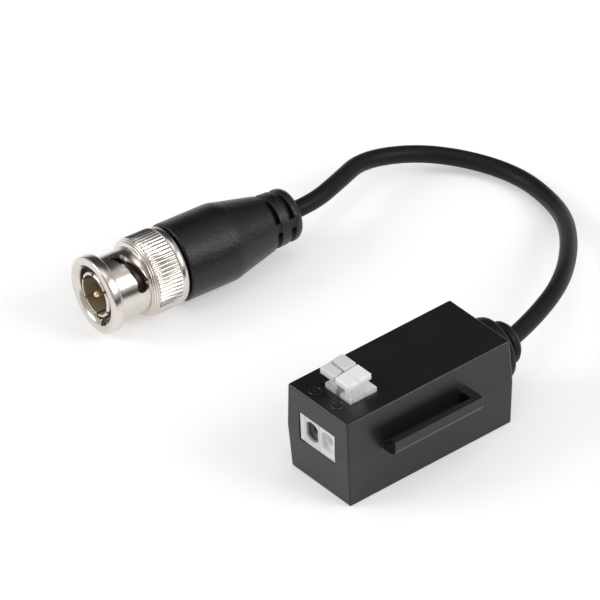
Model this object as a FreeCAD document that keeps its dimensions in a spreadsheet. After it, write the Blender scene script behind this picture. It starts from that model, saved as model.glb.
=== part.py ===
"""CCTV video balun: a two-way push-button terminal in a small housing, and a coaxial plug on a short lead.

Millimetres. The origin is the middle of the housing's underside, +Z is up, the wires enter from -Y and the
lead leaves towards +Y. The plug lies on the same surface as the housing, to its left.
"""
import FreeCAD, Part
import math
import os
import re
import Sketcher

# Housing: two shells that meet at a seam, each with a little draft
HOUSING = {
    "box_length": 36.56,
    "box_width": 16.56,
    "box_height": 17.5,
    "seam_height": 9.0,
    "base_draft": 0.36,
    "cover_draft": 0.28,
    "wall": 1.4,
    "edge_round": 0.4,
    "lip_wall": 0.7,
    "lip_height": 0.8,
    "fit_gap": 0.1,
    "post_side": 1.9,
    "window_margin": 1.27,
}

# Rail on the right wall and the slot in the left wall that takes a neighbour's rail
RAIL = {
    "rail_front": -10.6,
    "rail_back": 8.8,
    "rail_reach": 3.3,
    "rail_shelf": 1.2,
    "rail_lip": 1.2,
    "rail_height": 3.15,
    "rail_slant": 0.24,
    "rail_toe": 0.6,
    "rail_web": 0.96,
    "rail_inset": 0.2,
    "rail_stop": 1.8,
    "slot_gap": 0.35,
}

# Wire terminal: an end plate and two modules with a button each
TERMINAL = {
    "terminal_recess": 0.25,
    "terminal_shift": -0.24,
    "terminal_floor": 7.5,
    "terminal_height": 5.6,
    "module_pitch": 4.05,
    "module_gap": 0.05,
    "module_depth": 10.83,
    "module_nose": 3.4,
    "module_clearance": 0.5,
    "module_roof": 0.6,
    "module_side": 0.6,
    "end_plate": 1.2,
    "collar_width": 2.74,
    "collar_setback": 4.27,
    "collar_length": 5.78,
    "collar_rise": 0.8,
    "collar_wall": 0.4,
    "chamber_length": 4.56,
    "shaft_length": 2.9,
    "entry_height": 3.1,
    "entry_radius": 2.0,
    "entry_flat": 1.55,
    "entry_depth": 0.9,
    "funnel_depth": 0.6,
    "wire_radius": 1.1,
}

# Push buttons and what they open
BUTTON = {
    "cap_width": 3.85,
    "cap_lead": 0.74,
    "cap_length": 5.2,
    "cap_lift": 2.25,
    "cap_tilt": 0.5,
    "cap_thickness": 1.15,
    "cap_bevel": 0.25,
    "groove_width": 1.0,
    "groove_depth": 0.6,
    "groove_edge": 0.5,
    "column_length": 2.66,
    "column_side": 0.8,
    "column_gap": 0.12,
    "foot_height": 0.7,
    "foot_half": 1.2,
    "spring_sheet": 0.25,
    "spring_leg": 1.9,
    "contact_sheet": 0.35,
    "contact_level": 0.8,
    "contact_half": 1.15,
    "tail_width": 0.8,
    "tail_depth": 0.5,
    "tail_length": 2.2,
    "tail_setback": 2.36,
}

# Circuit board and the parts on it
BOARD = {
    "board_thickness": 1.0,
    "board_gap": 0.25,
    "board_clearance": 4.52,
    "core_outer": 3.4,
    "core_inner": 1.7,
    "core_height": 2.8,
    "winding_build": 0.55,
    "core_side": 0.6,
    "tube_radius": 1.5,
    "tube_cap": 0.2,
    "tube_length": 5.0,
    "tube_side": -2.2,
    "tube_setback": 4.6,
    "capacitor_width": 2.5,
    "capacitor_length": 5.0,
    "capacitor_height": 4.2,
    "capacitor_side": 3.4,
    "capacitor_bevel": 0.4,
    "lead_radius": 0.45,
    "lead_spread": 0.9,
    "lead_landing": 1.3,
}

# Cable gland at the back of the housing, measured outwards from the wall
GLAND = {
    "exit_height": 10.0,
    "gland_neck": 3.4,
    "gland_flange": 4.4,
    "gland_flange_length": 1.0,
    "gland_root": 5.2,
    "gland_slope": 0.73,
    "gland_ring_end": 2.35,
    "gland_step": 3.1,
    "gland_waist_end": 4.1,
    "gland_ring": 6.0,
    "gland_waist": 3.5,
    "gland_tip_ring": 4.0,
    "gland_tip": 3.3,
    "gland_length": 6.12,
    "cable_radius": 1.6,
}

# Plug, measured backwards from the front face of its nut
PLUG = {
    "plug_side": -61.05,
    "plug_place": -19.1,
    "plug_height": 7.32,
    "plug_yaw": 5.1,
    "nut_radius": 7.2,
    "nut_round": 0.35,
    "mouth_radius": 4.9,
    "mouth_chamfer": 0.4,
    "flange_length": 2.05,
    "neck_radius": 6.0,
    "neck_end": 8.5,
    "collar_nose": 6.8,
    "collar_slope": 0.6,
    "cavity_front": 8.7,
    "cavity_radius": 6.0,
    "grip_radius": 7.3,
    "grip_front": 9.6,
    "grip_groove": 0.3,
    "grip_back": 14.2,
    "nut_lip_front": 13.0,
    "nut_lip_back": 14.2,
    "nut_lip_radius": 4.55,
    "skirt_radius": 6.3,
    "nut_length": 15.9,
    "channel_radius": 5.6,
    "channel_width": 2.2,
    "channel_angle": 121.0,
    "cam_width": 2.1,
    "cam_front": 4.7,
    "cam_bend": 5.5,
    "cam_back": 7.25,
    "cam_start": 103.0,
    "cam_turn": 88.0,
    "cam_end": 28.0,
    "notch_radius": 1.05,
    "notch_place": 6.85,
    "notch_angle": 21.0,
    "sleeve_front": 0.7,
    "sleeve_radius": 4.3,
    "sleeve_wall": 0.6,
    "sleeve_slot": 0.4,
    "sleeve_slot_length": 5.0,
    "sleeve_slot_angle": 37.0,
    "body_flange": 5.7,
    "body_flange_front": 9.0,
    "body_flange_back": 10.35,
    "barrel_radius": 4.4,
    "barrel_end": 16.15,
    "ring_seat": 4.0,
    "ring_front": 14.25,
    "ring_width": 0.6,
    "ring_radius": 5.0,
    "stem_radius": 2.9,
    "stem_end": 25.0,
    "stem_bore": 1.2,
    "insulator_front": 6.2,
    "insulator_back": 14.0,
    "pin_radius": 0.675,
    "pin_tip": 0.5,
    "pin_point": 0.4,
    "pin_root": 0.9,
    "pin_tail": 1.0,
    "gasket_front": 6.6,
    "gasket_radius": 4.75,
    "washer_thickness": 0.6,
    "washer_radius": 5.75,
    "washer_gap": 0.15,
    "spring_thickness": 0.3,
    "inner_gap": 0.05,
}

# Boot behind the plug, as lengths from its front to its end
BOOT = {
    "boot_radius": 7.3,
    "boot_round": 0.35,
    "boot_barrel": 10.8,
    "boot_cone_radius": 5.25,
    "boot_cone": 8.7,
    "boot_groove": 4.3,
    "boot_groove_length": 0.8,
    "boot_ring": 5.05,
    "boot_ring_length": 2.2,
    "boot_tip": 4.9,
    "boot_tip_length": 1.9,
    "boot_tip_slope": 1.1,
    "boot_tip_end": 3.9,
    "bridge_width": 1.7,
    "bridge_angle": 17.0,
    "ferrule_wall": 0.5,
    "ferrule_setback": 0.75,
    "stem_clearance": 0.5,
}

SIZES = {**HOUSING, **RAIL, **TERMINAL, **BUTTON, **BOARD, **GLAND, **PLUG, **BOOT}

# Places that follow from the sizes
PLACES = {
    "half_length": "box_length / 2",
    "half_width": "box_width / 2",
    "inner_width": "half_width - base_draft - wall",
    "inner_length": "half_length - base_draft - wall",
    "lip_width": "inner_width + lip_wall",
    "lip_length": "inner_length + lip_wall",
    "terminal_front": "terminal_recess - half_length",
    "module_back": "terminal_front + module_depth",
    "module_top": "box_height - wall - module_clearance",
    "collar_front": "terminal_front + collar_setback",
    "collar_back": "collar_front + collar_length",
    "terminal_top": "terminal_floor + terminal_height",
    "group_left": "terminal_shift - module_pitch - end_plate / 2",
    "module_left": "group_left + end_plate + module_pitch / 2",
    "module_right": "module_left + module_pitch",
    "window_left": "group_left - fit_gap",
    "window_right": "module_right + module_pitch / 2 + fit_gap",
    "collar_half": "collar_width / 2",
    "collar_top": "box_height + collar_rise",
    "chamber_top": "module_top - module_roof",
    "chamber_half": "module_pitch / 2 - module_side",
    "chamber_front": "collar_front + collar_wall / 2",
    "chamber_back": "chamber_front + chamber_length",
    "shaft_front": "collar_front + collar_wall",
    "shaft_back": "shaft_front + shaft_length",
    "cap_front": "collar_front - cap_lead",
    "cap_back": "cap_front + cap_length",
    "cap_bottom": "collar_top + cap_lift",
    "cap_top": "cap_bottom + cap_thickness",
    "entry_middle": "terminal_floor + entry_height",
    "bore_front": "terminal_front + entry_depth + funnel_depth",
    "foot_top": "chamber_top - fit_gap",
    "foot_bottom": "foot_top - foot_height",
    "column_front": "shaft_front + fit_gap",
    "column_back": "column_front + column_length",
    "contact_bottom": "terminal_floor + contact_level",
    "contact_top": "contact_bottom + contact_sheet",
    "contact_front": "chamber_front + 2 * fit_gap",
    "contact_back": "chamber_back - 2 * fit_gap",
    "tail_place": "contact_front + tail_setback",
    "spring_top": "foot_bottom - fit_gap",
    "spring_front": "contact_front + fit_gap",
    "spring_back": "contact_back - fit_gap",
    "board_bottom": "terminal_floor - board_thickness",
    "board_half": "inner_width - board_gap",
    "board_front": "board_gap - inner_length",
    "board_back": "inner_length - board_clearance",
    "tube_place": "board_back - tube_setback",
    "core_place": "(module_back + tube_place - tube_length / 2) / 2",
    "winding_top": "terminal_floor + core_height + 2 * winding_build",
    "rail_root": "half_width - rail_lip",
    "rail_outer": "half_width + rail_reach",
    "rail_top": "seam_height + rail_height",
    "slot_top": "rail_top + slot_gap",
    "gland_start": "half_length + fit_gap",
    "gland_end": "half_length + gland_length",
    "gland_inside": "inner_length - fit_gap",
    "gland_back": "gland_inside - gland_flange_length",
    "sleeve_bore": "sleeve_radius - sleeve_wall",
    "insulator_radius": "sleeve_bore - inner_gap",
    "washer_front": "nut_lip_front - inner_gap - washer_thickness",
    "washer_bore": "barrel_radius + washer_gap",
    "pin_end": "insulator_back + pin_tail",
    "insulator_bore": "pin_root + inner_gap",
    "ferrule_bore": "stem_radius + inner_gap",
    "ferrule_radius": "ferrule_bore + ferrule_wall",
    "ferrule_front": "barrel_end + ferrule_setback",
    "ferrule_back": "stem_end - stem_clearance",
    "boot_bore": "ferrule_radius + inner_gap",
    "boot_bore_end": "stem_end + stem_clearance",
    "boot_front": "barrel_end + inner_gap",
    "boot_shoulder": "boot_front + boot_barrel",
    "boot_cone_end": "boot_shoulder + boot_cone",
    "boot_ring_front": "boot_cone_end + boot_groove_length",
    "boot_ring_back": "boot_ring_front + boot_ring_length",
    "boot_tip_front": "boot_ring_back + boot_groove_length",
    "boot_end": "boot_tip_front + boot_tip_length",
}

# Middle of the cable from the gland to the boot; the first and last points are worked out
CABLE_BENDS = [
    (0.0, 31.2, 10.0),
    (-4.4, 41.6, 10.9),
    (-18.2, 53.6, 5.0),
    (-28.8, 62.1, 1.8),
    (-42.1, 65.5, 1.8),
    (-53.9, 59.9, 3.3),
    (-59.1, 48.6, 6.6),
    (-58.9, 38.2, 9.1),
]
CABLE_TAIL = 5.9

SLEEVE_SLOTS = 6

PLANES = {"top": "XY_Plane", "front": "XZ_Plane", "side": "YZ_Plane"}

doc = FreeCAD.newDocument("VideoBalun")
sheet = doc.addObject("Spreadsheet::Sheet", "Sizes")
for row, (name, size) in enumerate(SIZES.items(), start=1):
    sheet.set("A%d" % row, name)
    sheet.set("B%d" % row, str(size))
    sheet.setAlias("B%d" % row, name)
doc.recompute()


def formula(text):
    """Spell out the worked-out places in a text and point each size at its cell."""

    def swap(match):
        word = match.group(0)
        if word in PLACES:
            return "(" + formula(PLACES[word]) + ")"
        return "Sizes." + word if word in SIZES else word

    return re.sub(r"[a-z_]+", swap, text)


def number(text):
    """Value of a formula."""
    return float(sheet.evalExpression(formula(text)))


def new_body(label):
    """Start a sub-part."""
    body = doc.addObject("PartDesign::Body", label)
    body.Label = label
    return body


def bind(sketch, kind, items, text):
    """Add a constraint that follows a formula."""
    index = sketch.addConstraint(Sketcher.Constraint(kind, *items, number(text)))
    sketch.setExpression("Constraints[%d]" % index, formula(text))


def draw_lines(sketch, corners):
    """Draw a closed outline of straight lines through corners given as two formulas each."""
    points = [FreeCAD.Vector(number(across), number(up), 0) for across, up in corners]
    first = sketch.GeometryCount
    for start, end in zip(points, points[1:] + points[:1]):
        sketch.addGeometry(Part.LineSegment(start, end))
    for index, (across, up) in enumerate(corners):
        following = first + (index + 1) % len(corners)
        sketch.addConstraint(Sketcher.Constraint("Coincident", first + index, 2, following, 1))
        bind(sketch, "DistanceX", (-1, 1, first + index, 1), across)
        bind(sketch, "DistanceY", (-1, 1, first + index, 1), up)


def draw_circle(sketch, across, up, radius):
    """Draw a circle with its middle and radius bound."""
    middle = FreeCAD.Vector(number(across), number(up), 0)
    item = sketch.addGeometry(Part.Circle(middle, FreeCAD.Vector(0, 0, 1), number(radius)))
    bind(sketch, "DistanceX", (-1, 1, item, 3), across)
    bind(sketch, "DistanceY", (-1, 1, item, 3), up)
    bind(sketch, "Radius", (item,), radius)


def new_sketch(body, view, level, shapes, turn=None):
    """Attach a sketch to one of the body's own planes and draw its outlines."""
    plane = next(item for item in body.Origin.OriginFeatures if item.Role == PLANES[view])
    sketch = body.newObject("Sketcher::SketchObject", body.Name + "_outline")
    sketch.AttachmentSupport = [(plane, "")]
    sketch.MapMode = "FlatFace"
    if turn:
        sketch.AttachmentOffset = FreeCAD.Placement(FreeCAD.Vector(), FreeCAD.Rotation(*turn))
    sketch.setExpression(".AttachmentOffset.Base.z", formula(level))
    for shape in shapes:
        if isinstance(shape, tuple):
            draw_circle(sketch, *shape)
        else:
            draw_lines(sketch, shape)
    return sketch


def rectangle(left, right, low, high):
    """Corners of a rectangle."""
    return [(left, low), (right, low), (right, high), (left, high)]


def slab(body, kind, view, start, end, shapes, turn=None):
    """Add (Pad) or cut (Pocket) a prism between two levels along the axis that the view looks along."""
    if view == "front":
        start, end = "-(%s)" % end, "-(%s)" % start
    sketch = new_sketch(body, view, start if kind == "Pad" else end, shapes, turn)
    feature = body.newObject("PartDesign::" + kind, body.Name + "_" + kind.lower())
    feature.Profile = sketch
    feature.setExpression("Length", formula("(%s) - (%s)" % (end, start)))
    return feature


def turned(body, kind, view, corners, sweep="360", turn=None):
    """Add (Revolution) or cut (Groove) a turned form round the view's upright axis."""
    sketch = new_sketch(body, view, "0", [corners], turn)
    feature = body.newObject("PartDesign::" + kind, body.Name + "_" + kind.lower())
    feature.Profile = sketch
    feature.ReferenceAxis = (sketch, ["V_Axis"])
    feature.setExpression("Angle", formula(sweep))
    return feature


def repeat_round(body, features, count):
    """Repeat features round the body's Y axis."""
    pattern = body.newObject("PartDesign::PolarPattern", body.Name + "_pattern")
    pattern.Originals = features
    axis = next(item for item in body.Origin.OriginFeatures if item.Role == "Y_Axis")
    pattern.Axis = (axis, [""])
    pattern.Angle = 360
    pattern.Occurrences = count
    body.Tip = pattern
    return pattern


def dress_edges(body, kind, amount, wanted):
    """Round (Fillet) or bevel (Chamfer) the edges of the body so far whose end points all pass a test."""
    doc.recompute()
    base = body.Tip
    names = []
    for index, edge in enumerate(base.Shape.Edges, start=1):
        if wanted([vertex.Point for vertex in edge.Vertexes]):
            names.append("Edge%d" % index)
    feature = body.newObject("PartDesign::" + kind, body.Name + "_" + kind.lower())
    feature.Base = (base, names)
    feature.setExpression("Radius" if kind == "Fillet" else "Size", formula(amount))


def off_level(level):
    """Test for edges that don't lie in a level plane."""
    height = number(level)
    return lambda points: any(abs(point.z - height) > 1e-6 for point in points)


def shell_block(body, start, end, draft):
    """Block of one housing shell, widest at the seam, with its four walls drafted away from there."""
    outline = rectangle("-(half_width)", "half_width", "-(half_length)", "half_length")
    block = slab(body, "Pad", "top", start, end, [outline])
    doc.recompute()
    seam = number("seam_height")
    walls = []
    for index, face in enumerate(block.Shape.Faces, start=1):
        middle = face.CenterOfMass
        if abs(middle.z - seam) < 1e-6:
            neutral = "Face%d" % index
        elif abs(face.normalAt(0, 0).z) < 0.5:
            walls.append("Face%d" % index)
    slope = body.newObject("PartDesign::Draft", body.Name + "_draft")
    slope.Base = (block, walls)
    slope.NeutralPlane = (block, [neutral])
    slope.Reversed = end == "seam_height"
    slope.setExpression("Angle", formula("atan(%s / (%s - %s))" % (draft, end, start)))
    return slope


def cavity(body, start, end, width="inner_width", length="inner_length"):
    """Cut a rectangular space about the middle of the housing."""
    shape = rectangle("-(%s)" % width, width, "-(%s)" % length, length)
    slab(body, "Pocket", "top", start, end, [shape])


def gland_hole(body):
    """Hole for the gland's neck through the back wall."""
    hole = ("0", "exit_height", "gland_neck + fit_gap")
    slab(body, "Pocket", "front", "inner_length - lip_wall", "half_length + wall", [hole])


def front_window(body, low, high):
    """Opening for the terminal through the front wall."""
    shape = rectangle("window_left", "window_right", low, high)
    slab(body, "Pocket", "front", "-(half_length + wall)", "lip_wall - inner_length", [shape])


def make_base():
    """Lower shell, with a lip round its rim and four posts under the board."""
    body = new_body("housing_base")
    shell_block(body, "0", "seam_height", "base_draft")
    dress_edges(body, "Fillet", "edge_round", off_level("seam_height"))
    lip = rectangle("-(lip_width)", "lip_width", "-(lip_length)", "lip_length")
    slab(body, "Pad", "top", "seam_height - wall", "seam_height + lip_height", [lip])
    cavity(body, "wall", "seam_height + lip_height")
    posts = []
    for side in ("-", ""):
        for end in ("board_front", "board_back - post_side"):
            near = "%s(inner_width)" % side
            far = "%s(inner_width - post_side)" % side
            left, right = (near, far) if side else (far, near)
            posts.append(rectangle(left, right, end, "(%s) + post_side" % end))
    slab(body, "Pad", "top", "wall", "board_bottom", posts)
    window_top = "seam_height + 2 * lip_height"
    front_window(body, "terminal_floor", window_top)
    gland_hole(body)
    slot = rectangle("rail_front - slot_gap", "rail_back + slot_gap", "seam_height", window_top)
    slab(body, "Pocket", "side", "-(half_width)", "wall - half_width + lip_wall", [slot])
    return body


def make_cover():
    """Upper shell, with the rail on its right wall, the windows and the slot in its left wall."""
    body = new_body("housing_cover")
    shell_block(body, "seam_height", "box_height", "cover_draft")
    dress_edges(body, "Fillet", "edge_round", off_level("seam_height"))
    rail = [
        ("rail_root", "seam_height"),
        ("rail_outer - rail_lip", "seam_height"),
        ("rail_outer - rail_slant", "seam_height + rail_toe"),
        ("rail_outer", "seam_height + rail_shelf"),
        ("rail_outer", "rail_top"),
        ("rail_outer - rail_lip", "rail_top"),
        ("rail_outer - rail_lip", "seam_height + rail_shelf + rail_web"),
        ("half_width - rail_inset", "seam_height + rail_shelf"),
        ("rail_root", "seam_height + rail_shelf"),
    ]
    slab(body, "Pad", "front", "rail_front", "rail_back", [rail])
    stop = rectangle("rail_root", "rail_outer", "seam_height + rail_shelf", "rail_top")
    slab(body, "Pad", "front", "rail_back - rail_stop", "rail_back", [stop])
    cavity(body, "seam_height", "box_height - wall")
    recess_top = "seam_height + lip_height + fit_gap"
    cavity(body, "seam_height", recess_top, "lip_width + fit_gap", "lip_length + fit_gap")
    front_window(body, "seam_height", "terminal_top + fit_gap")
    window = rectangle(
        "module_left - collar_half - window_margin",
        "module_right + collar_half + fit_gap",
        "collar_front - fit_gap",
        "collar_back + fit_gap",
    )
    slab(body, "Pocket", "top", "box_height - 2 * wall", "box_height", [window])
    gland_hole(body)
    slot = rectangle("rail_front - slot_gap", "rail_back + slot_gap", "seam_height", "slot_top")
    slab(body, "Pocket", "side", "-(half_width)", "wall - half_width + lip_wall", [slot])
    return body


def make_end_plate():
    """Plate that closes the left end of the terminal."""
    body = new_body("terminal_end_plate")
    shape = rectangle("terminal_front", "module_back", "terminal_floor", "terminal_top")
    slab(body, "Pad", "side", "group_left", "group_left + end_plate", [shape])
    return body


def make_module(side, middle):
    """Terminal module: a funnelled wire entry, a chamber for the clamp and a collar round the button."""
    body = new_body("terminal_module_" + side)
    profile = [
        ("terminal_front", "terminal_floor"),
        ("module_back", "terminal_floor"),
        ("module_back", "module_top"),
        ("terminal_front + module_nose", "module_top"),
        ("terminal_front + module_nose", "terminal_top"),
        ("terminal_front", "terminal_top"),
    ]
    left = middle + " - module_pitch / 2 + module_gap"
    right = middle + " + (module_pitch - module_gap) / 2"
    slab(body, "Pad", "side", left, right, [profile])
    collar = rectangle(middle + " - collar_half", middle + " + collar_half", "collar_front", "collar_back")
    slab(body, "Pad", "top", "module_top", "collar_top", [collar])
    chamber_sides = (middle + " - chamber_half", middle + " + chamber_half")
    chamber = rectangle(*chamber_sides, "chamber_front", "chamber_back")
    slab(body, "Pocket", "top", "terminal_floor", "chamber_top", [chamber])
    shaft_left = middle + " - column_side - column_gap"
    shaft = rectangle(shaft_left, middle + " + collar_half + column_gap", "shaft_front", "shaft_back")
    slab(body, "Pocket", "top", "chamber_top", "collar_top", [shaft])
    slab(body, "Pocket", "front", "terminal_front", "terminal_front + entry_depth", [entry_corners(middle)])
    cut_funnel(body, middle)
    bore = (middle, "entry_middle", "wire_radius")
    slab(body, "Pocket", "front", "bore_front", "chamber_front + wall", [bore])
    return body


def entry_corners(middle):
    """Wire entry seen from the front: a circle clipped by two upright flats, in short sides."""
    corners = []
    flat = math.degrees(math.acos(number("entry_flat / entry_radius")))
    steps = 5
    for centre_angle in (90, 270):
        for step in range(steps + 1):
            angle = centre_angle + (90 - flat) * (1 - 2 * step / steps)
            across = "%s + entry_radius * %.6f" % (middle, math.cos(math.radians(angle)))
            up = "entry_middle + entry_radius * %.6f" % math.sin(math.radians(angle))
            corners.append((across, up))
    return corners


def cut_funnel(body, middle):
    """Cone that leads from the entry's flats into the bore."""
    mouth = (middle, "entry_middle", "entry_flat")
    sketch = new_sketch(body, "front", "-(terminal_front + entry_depth)", [mouth])
    pocket = body.newObject("PartDesign::Pocket", body.Name + "_funnel")
    pocket.Profile = sketch
    pocket.setExpression("Length", formula("funnel_depth"))
    pocket.setExpression("TaperAngle", formula("-atan((entry_flat - wire_radius) / funnel_depth)"))


def above_underside(points):
    """Tell whether an edge leaves the slanting underside of a button's cap."""
    slope = number("cap_tilt / cap_length")
    front = number("cap_front")
    bottom = number("cap_bottom")
    return any(point.z - bottom - slope * (point.y - front) > 1e-6 for point in points)


def make_button(side, middle):
    """Push button: a slanting grooved cap on a column that ends in a foot under the module's roof."""
    body = new_body("release_button_" + side)
    left = middle + " - cap_width / 2"
    right = middle + " + cap_width / 2"
    cap = [
        ("cap_front", "cap_bottom"),
        ("cap_back", "cap_bottom + cap_tilt"),
        ("cap_back", "cap_top + cap_tilt"),
        ("cap_front", "cap_top"),
    ]
    slab(body, "Pad", "side", left, right, [cap])
    dress_edges(body, "Chamfer", "cap_bevel", above_underside)
    groove_start = "(cap_front + cap_back) / 2 - groove_width / 2"
    groove = [
        (groove_start, "cap_top + cap_tilt"),
        (groove_start, "cap_top + cap_tilt / 2 - groove_depth"),
        (groove_start + " + groove_width", "cap_top + cap_tilt"),
    ]
    slab(body, "Pocket", "side", left + " + groove_edge", right, [groove])
    column = rectangle(middle + " - column_side", middle + " + collar_half", "column_front", "column_back")
    slab(body, "Pad", "top", "foot_bottom", "cap_bottom + cap_tilt", [column])
    foot_sides = (middle + " - foot_half", middle + " + foot_half")
    foot = rectangle(*foot_sides, "chamber_front + fit_gap", "column_back")
    slab(body, "Pad", "top", "foot_bottom", "foot_top", [foot])
    return body


def make_spring(side, middle):
    """Clamp spring: a strip bent into an open cage round the wire."""
    body = new_body("clamp_spring_" + side)
    profile = [
        ("spring_front", "contact_top"),
        ("spring_back", "contact_top"),
        ("spring_back", "spring_top"),
        ("spring_front", "spring_top"),
        ("spring_front", "spring_top - spring_leg"),
        ("spring_front + spring_sheet", "spring_top - spring_leg"),
        ("spring_front + spring_sheet", "spring_top - spring_sheet"),
        ("spring_back - spring_sheet", "spring_top - spring_sheet"),
        ("spring_back - spring_sheet", "contact_top + spring_sheet"),
        ("spring_front", "contact_top + spring_sheet"),
    ]
    half = "(contact_half - 2 * fit_gap)"
    slab(body, "Pad", "side", "%s - %s" % (middle, half), "%s + %s" % (middle, half), [profile])
    return body


def make_contact(side, middle):
    """Contact strip with a tail through the board."""
    body = new_body("contact_" + side)
    strip = rectangle("contact_front", "contact_back", "contact_bottom", "contact_top")
    slab(body, "Pad", "side", middle + " - contact_half", middle + " + contact_half", [strip])
    tail_end = "contact_bottom - contact_level - tail_length"
    slab(body, "Pad", "top", tail_end, "contact_bottom", [tail_outline(middle)])
    return body


def tail_outline(middle, gap="0"):
    """Section of a contact's tail, with a gap round it."""
    wide = "(tail_width / 2 + %s)" % gap
    deep = "(tail_depth / 2 + %s)" % gap
    sides = (middle + " - " + wide, middle + " + " + wide)
    return rectangle(*sides, "tail_place - " + deep, "tail_place + " + deep)


def make_board():
    """Circuit board with a hole for each tail."""
    body = new_body("circuit_board")
    shape = rectangle("-(board_half)", "board_half", "board_front", "board_back")
    slab(body, "Pad", "top", "board_bottom", "terminal_floor", [shape])
    holes = [tail_outline(middle, "fit_gap") for middle in ("module_left", "module_right")]
    slab(body, "Pocket", "top", "board_bottom", "terminal_floor", holes)
    return body


def make_transformer():
    """Ring core that stands on the board, and the winding round it."""
    inner_low = "terminal_floor + winding_build"
    core = new_body("transformer_core")
    section = rectangle(
        "core_inner + inner_gap",
        "core_outer - inner_gap",
        inner_low + " + inner_gap",
        inner_low + " + core_height - inner_gap",
    )
    turned(core, "Revolution", "front", section)
    winding = new_body("transformer_winding")
    winding_sides = ("core_inner - winding_build", "core_outer + winding_build")
    outer = rectangle(*winding_sides, "terminal_floor", "winding_top")
    turned(winding, "Revolution", "front", outer)
    tunnel = rectangle("core_inner", "core_outer", inner_low, inner_low + " + core_height")
    turned(winding, "Groove", "front", tunnel)
    place = FreeCAD.Vector(number("core_side"), number("core_place"), 0)
    for body in (core, winding):
        body.Placement = FreeCAD.Placement(place, FreeCAD.Rotation())
    return core, winding


def make_suppressor():
    """Surge suppressor: a ceramic tube between two metal caps, lying on the board."""
    body = new_body("surge_suppressor")
    half = "tube_length / 2"
    cap_radius = "tube_radius + tube_cap"
    cap_end = half + " - 4 * tube_cap"
    profile = [
        ("0", "-" + half),
        (cap_radius, "-" + half),
        (cap_radius, "-(%s)" % cap_end),
        ("tube_radius", "-(%s)" % cap_end),
        ("tube_radius", cap_end),
        (cap_radius, cap_end),
        (cap_radius, half),
        ("0", half),
    ]
    turned(body, "Revolution", "top", profile)
    height = number("terminal_floor + " + cap_radius)
    place = FreeCAD.Vector(number("tube_side"), number("tube_place"), height)
    body.Placement = FreeCAD.Placement(place, FreeCAD.Rotation())
    return body


def make_capacitor():
    """Box capacitor with bevelled edges."""
    block = doc.addObject("Part::Box", "capacitor_block")
    block.setExpression("Length", formula("capacitor_width"))
    block.setExpression("Width", formula("capacitor_length"))
    block.setExpression("Height", formula("capacitor_height"))
    doc.recompute()
    case = doc.addObject("Part::Chamfer", "capacitor")
    case.Base = block
    bevel = number("capacitor_bevel")
    height = number("capacitor_height")
    edges = []
    for index, edge in enumerate(block.Shape.Edges, start=1):
        if any(vertex.Point.z > height / 2 for vertex in edge.Vertexes):
            edges.append((index, bevel, bevel))
    case.Edges = edges
    case.Label = "capacitor"
    corner = FreeCAD.Vector(
        number("capacitor_side - capacitor_width / 2"),
        number("tube_place - capacitor_length / 2"),
        number("terminal_floor"),
    )
    case.Placement = FreeCAD.Placement(corner, FreeCAD.Rotation())
    return case


def make_gland():
    """Strain relief: a flange inside the wall, a neck through it and two rings outside."""
    body = new_body("cable_gland")
    profile = [
        ("0", "gland_back"),
        ("gland_flange", "gland_back"),
        ("gland_flange", "gland_inside"),
        ("gland_neck", "gland_inside"),
        ("gland_neck", "gland_start"),
        ("gland_root", "gland_start"),
        ("gland_ring", "gland_start + gland_slope"),
        ("gland_ring", "gland_start + gland_ring_end"),
        ("gland_root", "gland_start + gland_step"),
        ("gland_waist", "gland_start + gland_step"),
        ("gland_waist", "gland_start + gland_waist_end"),
        ("gland_tip_ring", "gland_start + gland_waist_end"),
        ("gland_tip_ring", "gland_end - gland_slope"),
        ("gland_tip", "gland_end"),
        ("0", "gland_end"),
    ]
    turned(body, "Revolution", "top", profile)
    height = FreeCAD.Vector(0, 0, number("exit_height"))
    body.Placement = FreeCAD.Placement(height, FreeCAD.Rotation())
    return body


def plug_direction():
    """Direction from the plug's front face back along its axis."""
    yaw = math.radians(number("plug_yaw"))
    return FreeCAD.Vector(math.sin(yaw), math.cos(yaw), 0)


def lay_plug(body):
    """Lay a plug piece on its side at the plug's place."""
    place = FreeCAD.Vector(number("plug_side"), number("plug_place"), number("plug_height"))
    turn = FreeCAD.Rotation(FreeCAD.Vector(0, 0, 1), -number("plug_yaw"))
    body.Placement = FreeCAD.Placement(place, turn)
    return body


def make_ring(label, inner, outer, front, back):
    """Plain ring on the plug's axis."""
    body = new_body(label)
    turned(body, "Revolution", "top", rectangle(inner, outer, front, back))
    return lay_plug(body)


def make_nut():
    """Coupling nut: a flange, a neck with two cam slots, a collar and a grip over an inner lip."""
    body = new_body("coupling_nut")
    low_grip = "grip_radius - grip_groove"
    profile = [
        ("mouth_radius + mouth_chamfer", "0"),
        ("nut_radius - nut_round", "0"),
        ("nut_radius", "nut_round"),
        ("nut_radius", "flange_length"),
        ("neck_radius", "flange_length"),
        ("neck_radius", "neck_end"),
        ("collar_nose", "neck_end"),
        ("grip_radius", "neck_end + collar_slope"),
        ("grip_radius", "grip_front - grip_groove"),
        (low_grip, "grip_front - grip_groove"),
        (low_grip, "grip_front"),
        ("grip_radius", "grip_front"),
        ("grip_radius", "grip_back"),
        ("grip_radius - nut_round", "grip_back + nut_round"),
        ("grip_radius - nut_round", "nut_length - nut_round"),
        ("grip_radius - 2 * nut_round", "nut_length"),
        ("skirt_radius", "nut_length"),
        ("skirt_radius", "nut_lip_back"),
        ("nut_lip_radius", "nut_lip_back"),
        ("nut_lip_radius", "nut_lip_front"),
        ("cavity_radius", "nut_lip_front"),
        ("cavity_radius", "cavity_front"),
        ("mouth_radius", "cavity_front"),
        ("mouth_radius", "mouth_chamfer"),
    ]
    turned(body, "Revolution", "top", profile)
    cut_cams(body)
    return lay_plug(body)


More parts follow.
